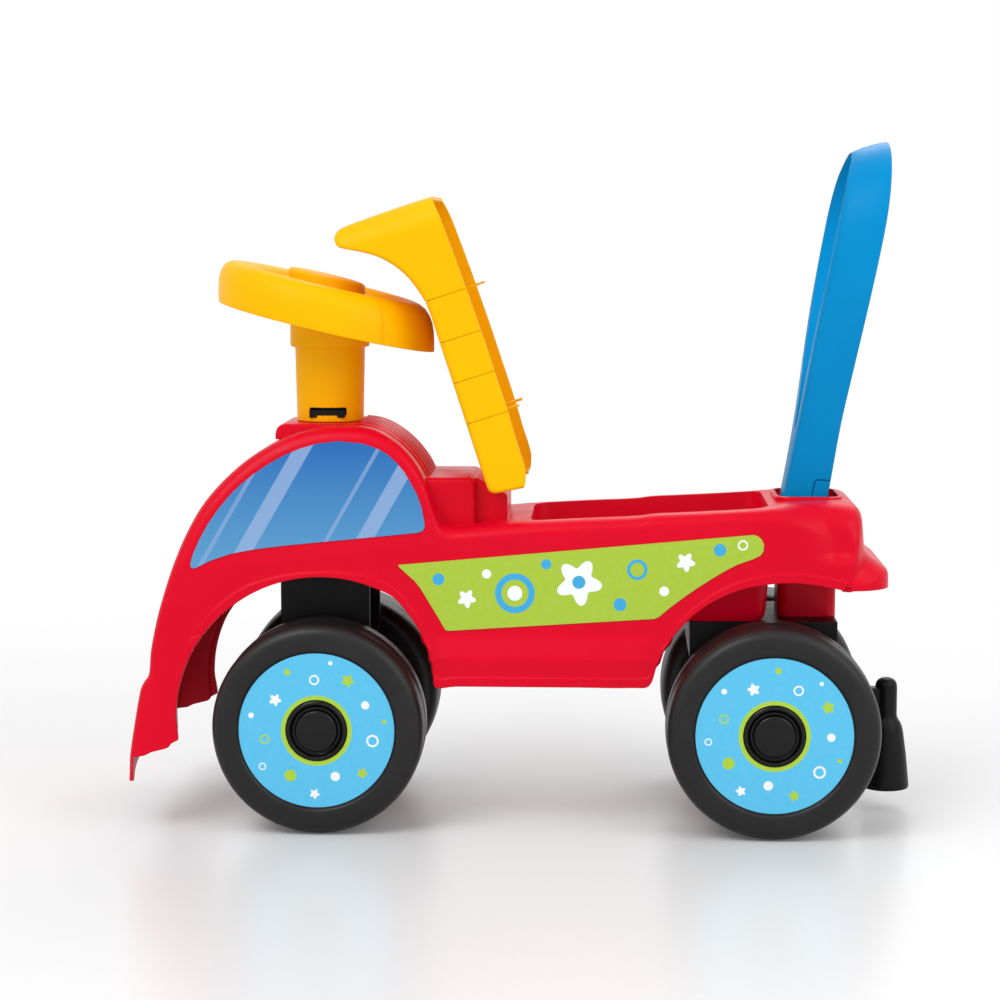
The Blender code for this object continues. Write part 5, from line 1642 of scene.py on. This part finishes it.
@dataclass
class PushHandle:
    """The blue push handle and backrest: a leaning loop on a stem that plugs into the socket."""

    tilt: float = math.radians(10.5)
    depth: float = 29.0
    radius: float = 64.0
    band: float = 13.0
    top_z: float = 487.0
    socket_x: float = 346.0
    rim_z: float = 233.4
    foot_half: float = 20.4

    def at(self, y: float, w: float, d: float) -> Vector:
        """Give a point of the handle.

        Args:
            y: How far across.
            w: How far up its leaning plane.
            d: How far back from its front face.

        Returns:
            The point in metres.
        """
        share = min(max(d / self.depth, 0.0), 1.0)
        bow = 2.6 * (1 - share) * ease(w, 30.0, 150.0) * (1 - ease(w, 222.0, 260.0))
        heel = 2.0 * share * (1 - ease(w, 0.0, 70.0))
        nod = 4.0 * (max(w - 190.0, 0.0) / 70.0) ** 2
        x = self.socket_x - 15.4 + w * math.sin(self.tilt) + d * math.cos(self.tilt) - bow + heel - nod
        z = self.rim_z + 2.5 + w * math.cos(self.tilt) - d * math.sin(self.tilt)
        return car(x, y, z)

    def length(self) -> float:
        """Give the loop's length up its plane."""
        return (self.top_z - self.rim_z) / math.cos(self.tilt) + 2.4

    def outline(self, radius: float, top: float, inset: float = 0.0) -> list[Pair]:
        """Give the loop's outline, from its foot up one side and down the other.

        Args:
            radius: The loop's outer radius.
            top: How far up its top is.
            inset: How far the outline is drawn in.

        Returns:
            Points as y and w.
        """
        centre = top - radius
        reach = radius - inset
        foot = self.foot_half - inset
        half = [(foot, -9.0), (foot, 0.0)]
        half += curve(((foot, 0), (foot, 62), (reach, centre - 66), (reach, centre - 4)), 24)
        half += [(reach * math.cos(math.radians(4.5 * s)), centre + reach * math.sin(math.radians(4.5 * s)))
                 for s in range(1, 20)]
        return [*half, (0.0, centre + reach), *[(-y, w) for y, w in reversed(half)]]

    def opening(self) -> list[Pair]:
        """Give the outline of the opening inside the loop.

        Returns:
            Points as y and w.
        """
        inner = self.radius - self.band
        centre = self.length() - self.radius
        half = [(3.4, 45.0), (6.4, 47.6), (8.5, 52.0)]
        half += curve(((8.5, 52.0), (14.0, 92.0), (inner, centre - 58), (inner, centre - 4)), 24)
        half += [(inner * math.cos(math.radians(4.5 * s)), centre + inner * math.sin(math.radians(4.5 * s)))
                 for s in range(1, 20)]
        return [(0.0, 44.0), *half, (0.0, centre + inner), *[(-y, w) for y, w in reversed(half)]]

    def build(self, material: bpy.types.Material) -> None:
        """Model the handle and dress it.

        Args:
            material: The blue plastic.
        """
        length = self.length()
        rows = []
        for share, inset, drop in ((0.0, 2.4, 17.6), (0.02, 1.2, 16.4), (0.06, 0.3, 14.8), (0.12, 0.0, 13.0),
                                   (0.22, 0.0, 10.8), (0.36, 0.0, 8.2), (0.55, 0.0, 5.3), (0.75, 0.0, 2.7),
                                   (0.92, 0.0, 0.8), (0.98, 0.4, 0.3), (1.0, 1.0, 0.4)):
            radius, top = self.radius - drop * 0.5, length - drop
            rows.append([self.at(y, w, self.depth * share) for y, w in self.outline(radius, top, inset)])
        handle = Bench.lofted("push_handle", rows)
        hole = Bench.lofted("hole", [[self.at(y, w, d) for y, w in self.opening()] for d in (-12, 0, 10, 20, 29, 42)])
        Bench.cut(handle, hole)
        plug = ((155, 14.6, 18.8, 3), (157, 16.2, 20.4, 3.4), (231.0, 16.2, 20.4, 3.4))
        Bench.join(handle, Bench.lofted("plug", stacked(plug, self.socket_x)))
        for side in Side:
            low, high = sorted((side.value * (self.foot_half - 0.7), side.value * (self.foot_half + 3)))
            outline = ((18.0, -2), (18.0, 11.0), (20.5, 13.2), (32.0, 14.2), (32.0, 13.3), (21.0, 12.3),
                       (18.9, 10.6), (18.9, -2))
            groove = Bench.slab("groove", [self.at(low, w, d) for d, w in outline], Vector((0, (high - low) * MM, 0)))
            Bench.cut(handle, groove)
        Bench.smooth(handle, 38.0)
        dress(handle, material, "chassis", "blue_plastic", "backrest_handle")


@dataclass
class RearFoot:
    """The foot behind the rear wheels that stops the car from tipping."""

    x: float = 407.9
    plate_x: float = 367.3
    plate_z: float = 92.0

    def build(self, material: bpy.types.Material) -> None:
        """Model the foot, its plate and its arm, and dress it.

        Args:
            material: The black plastic.
        """
        cone = ((0, 15.5), (15.8, 15.5), (16.9, 15.9), (17.4, 17.0), (17.3, 19.0), (15.1, 41.0), (12.7, 58.0),
                (11.9, 61.4), (10.6, 64.4), (9.0, 66.8), (8.2, 68.6), (8, 70.6), (8, 90), (7.7, 92.6), (6.8, 94.6),
                (5.2, 96.2), (3.0, 97.1), (0, 97.4))
        foot = Bench.turned("rear_foot", cone, car(self.x, 0, 0), AXIS_Z, 64)
        low, high = car(self.plate_x, -26, self.plate_z - 11), car(self.plate_x + 3.5, 26, self.plate_z + 11)
        arm = Bench.block("arm", car(self.plate_x + 1, -6, 70), car(self.x, 6, 90), 1.2)
        Bench.join(foot, Bench.block("plate", low, high, 0.8), arm)
        for y in (-19, 19):
            at = car(self.plate_x, y, self.plate_z)
            Bench.cut(foot, Bench.turned("hole", ((0, -5), (1.9, -5), (1.9, 9), (0, 9)), at, AXIS_X, 24))
        Bench.smooth(foot, 32.0)
        dress(foot, material, "chassis", "black_plastic", "stability_foot")


@dataclass
class Studio:
    """The pale floor, the lamps and the camera at the photograph's place."""

    camera_place: tuple[float, float, float] = (0.05743, -1.81222, 0.42214)
    focal_length: float = 89.6
    yaw: float = 0.0431
    pitch: float = 0.1073
    floor_size: float = 9.0
    near: float = 0.46
    far: float = 1.0

    def camera(self) -> None:
        """Place the camera."""
        data = bpy.data.cameras.new("photo_camera")
        data.lens = self.focal_length
        data.sensor_width = 36.0
        camera = bpy.data.objects.new("photo_camera", data)
        bpy.context.scene.collection.objects.link(camera)
        camera.location = self.camera_place
        camera.rotation_euler = (math.pi / 2 - self.pitch, 0.0, self.yaw)
        bpy.context.scene.camera = camera

    def lamp(self, name: str, place: Sequence[float], target: Sequence[float], size: float, power: float) -> None:
        """Add a soft square lamp.

        Args:
            name: Its name.
            place: Where it stands.
            target: What it faces.
            size: Its side in metres.
            power: Its power in watts.
        """
        data = bpy.data.lights.new(name, "AREA")
        data.shape = "SQUARE"
        data.size = size
        data.energy = power
        lamp = bpy.data.objects.new(name, data)
        bpy.context.scene.collection.objects.link(lamp)
        lamp.location = place
        lamp.rotation_euler = (Vector(target) - Vector(place)).to_track_quat("-Z", "Y").to_euler()

    def floor(self) -> None:
        """Add the pale floor, which keeps the car's shadow and fades to white further off."""
        Bench.take()
        bpy.ops.mesh.primitive_plane_add(size=self.floor_size, location=(0.0, 0.0, 0.0))
        floor = bpy.context.object
        floor.name = "floor"
        graph = Graph("pale floor")
        where = graph.place()
        x, y, _ = graph.parts(where)
        across = abs(x) * 0.8
        reach = graph.maths("SQRT", across * across + y * y)
        seen = Wire(graph, graph.node("ShaderNodeLightPath").outputs["Is Camera Ray"])
        fade = graph.spread(reach, self.near, self.far, 0.06, 1.0) * seen
        graph.finish(Base_Color=graph.mix(graph.noise(where, 3.0), (0.8, 0.8, 0.81, 1.0), (0.82, 0.82, 0.82, 1.0)),
                     Roughness=0.3)
        white = graph.node("ShaderNodeEmission", {"Color": (1.0, 1.0, 1.0, 1.0), "Strength": 1.0})
        plain = Wire(graph, graph.shader.outputs[0])
        blend = graph.node("ShaderNodeMixShader", {0: fade, 1: plain, 2: Wire(graph, white.outputs[0])})
        output = graph.tree.nodes["Material Output"]
        graph.tree.links.new(blend.outputs[0], output.inputs["Surface"])
        floor.data.materials.append(graph.material)

    def world(self) -> None:
        """Light the surroundings evenly and show white to the camera and to glossy rays."""
        world = bpy.data.worlds.new("studio")
        bpy.context.scene.world = world
        world.use_nodes = True
        nodes = world.node_tree.nodes
        links = world.node_tree.links
        background = nodes["Background"]
        path = nodes.new("ShaderNodeLightPath")
        last = path.outputs["Is Camera Ray"]
        for ray in ("Is Glossy Ray", "Is Transmission Ray"):
            either = nodes.new("ShaderNodeMath")
            either.operation = "MAXIMUM"
            links.new(last, either.inputs[0])
            links.new(path.outputs[ray], either.inputs[1])
            last = either.outputs[0]
        seen = nodes.new("ShaderNodeMapRange")
        seen.inputs[3].default_value = 0.62
        seen.inputs[4].default_value = 1.0
        links.new(last, seen.inputs[0])
        links.new(seen.outputs[0], background.inputs["Strength"])
        background.inputs["Color"].default_value = (1.0, 1.0, 1.0, 1.0)

    def build(self) -> None:
        """Set up the whole studio."""
        self.camera()
        self.floor()
        self.world()
        self.lamp("key_lamp", (-1.2, -1.6, 2.2), (0.0, 0.0, 0.2), 1.6, 38.0)
        self.lamp("fill_lamp", (1.6, -1.2, 1.4), (0.0, 0.0, 0.2), 1.6, 16.0)
        self.lamp("back_lamp", (0.6, 1.6, 1.8), (0.0, 0.0, 0.25), 1.4, 16.0)
        bpy.context.scene.view_settings.view_transform = "Standard"


FINISHES = {
    "red_plastic": MouldedPlastic("red plastic", srgb(219, 0, 37), srgb(210, 0, 34), 0.34, gloss=0.12),
    "yellow_plastic": MouldedPlastic("yellow plastic", srgb(252, 188, 0), srgb(248, 181, 0), 0.4, gloss=0.07),
    "blue_plastic": MouldedPlastic("blue plastic", srgb(0, 140, 202), srgb(0, 133, 195), 0.4, gloss=0.07),
    "black_plastic": MouldedPlastic("black plastic", srgb(14, 12, 13), srgb(10, 9, 9), 0.42, gloss=0.18),
    "gloss_black": MouldedPlastic("glossy black plastic", srgb(11, 10, 10), srgb(8, 7, 8), 0.2, 0.00002, 0.0004, 0.26),
    "tyre": TyrePlastic(),
    "zinc_steel": ZincSteel(),
    "wheel_print": PrintedFilm("wheel print", srgb(82, 190, 232), srgb(170, 205, 58), WHEEL_MOTIFS, True),
    "green_print": PrintedFilm("stripe print", srgb(163, 192, 46), srgb(58, 165, 215), STRIPE_MOTIFS),
    "window_print": WindowFilm(),
}


def main() -> None:
    """Build the car's looks and its studio."""
    logging.basicConfig(level=logging.INFO, format="%(name)s: %(message)s")
    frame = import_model()
    finish = {slot: kind.build() for slot, kind in FINISHES.items()}
    for entry in frame["record"]["subparts"]:
        node = frame["nodes"][entry["node"]]
        node.data.materials.clear()
        node.data.materials.append(finish[entry["material_slot"]])
    shell = BodyShell()
    shell.build(finish["red_plastic"])
    SideFilms(shell).build(finish["window_print"], finish["green_print"])
    RoadWheels().build(finish["tyre"], finish["gloss_black"], finish["wheel_print"])
    SteeringGear().build(finish["yellow_plastic"])
    SeatLid().build(finish["yellow_plastic"])
    PushHandle().build(finish["blue_plastic"])
    RearFoot().build(finish["black_plastic"])
    Studio().build()


if __name__ == "__main__":
    main()
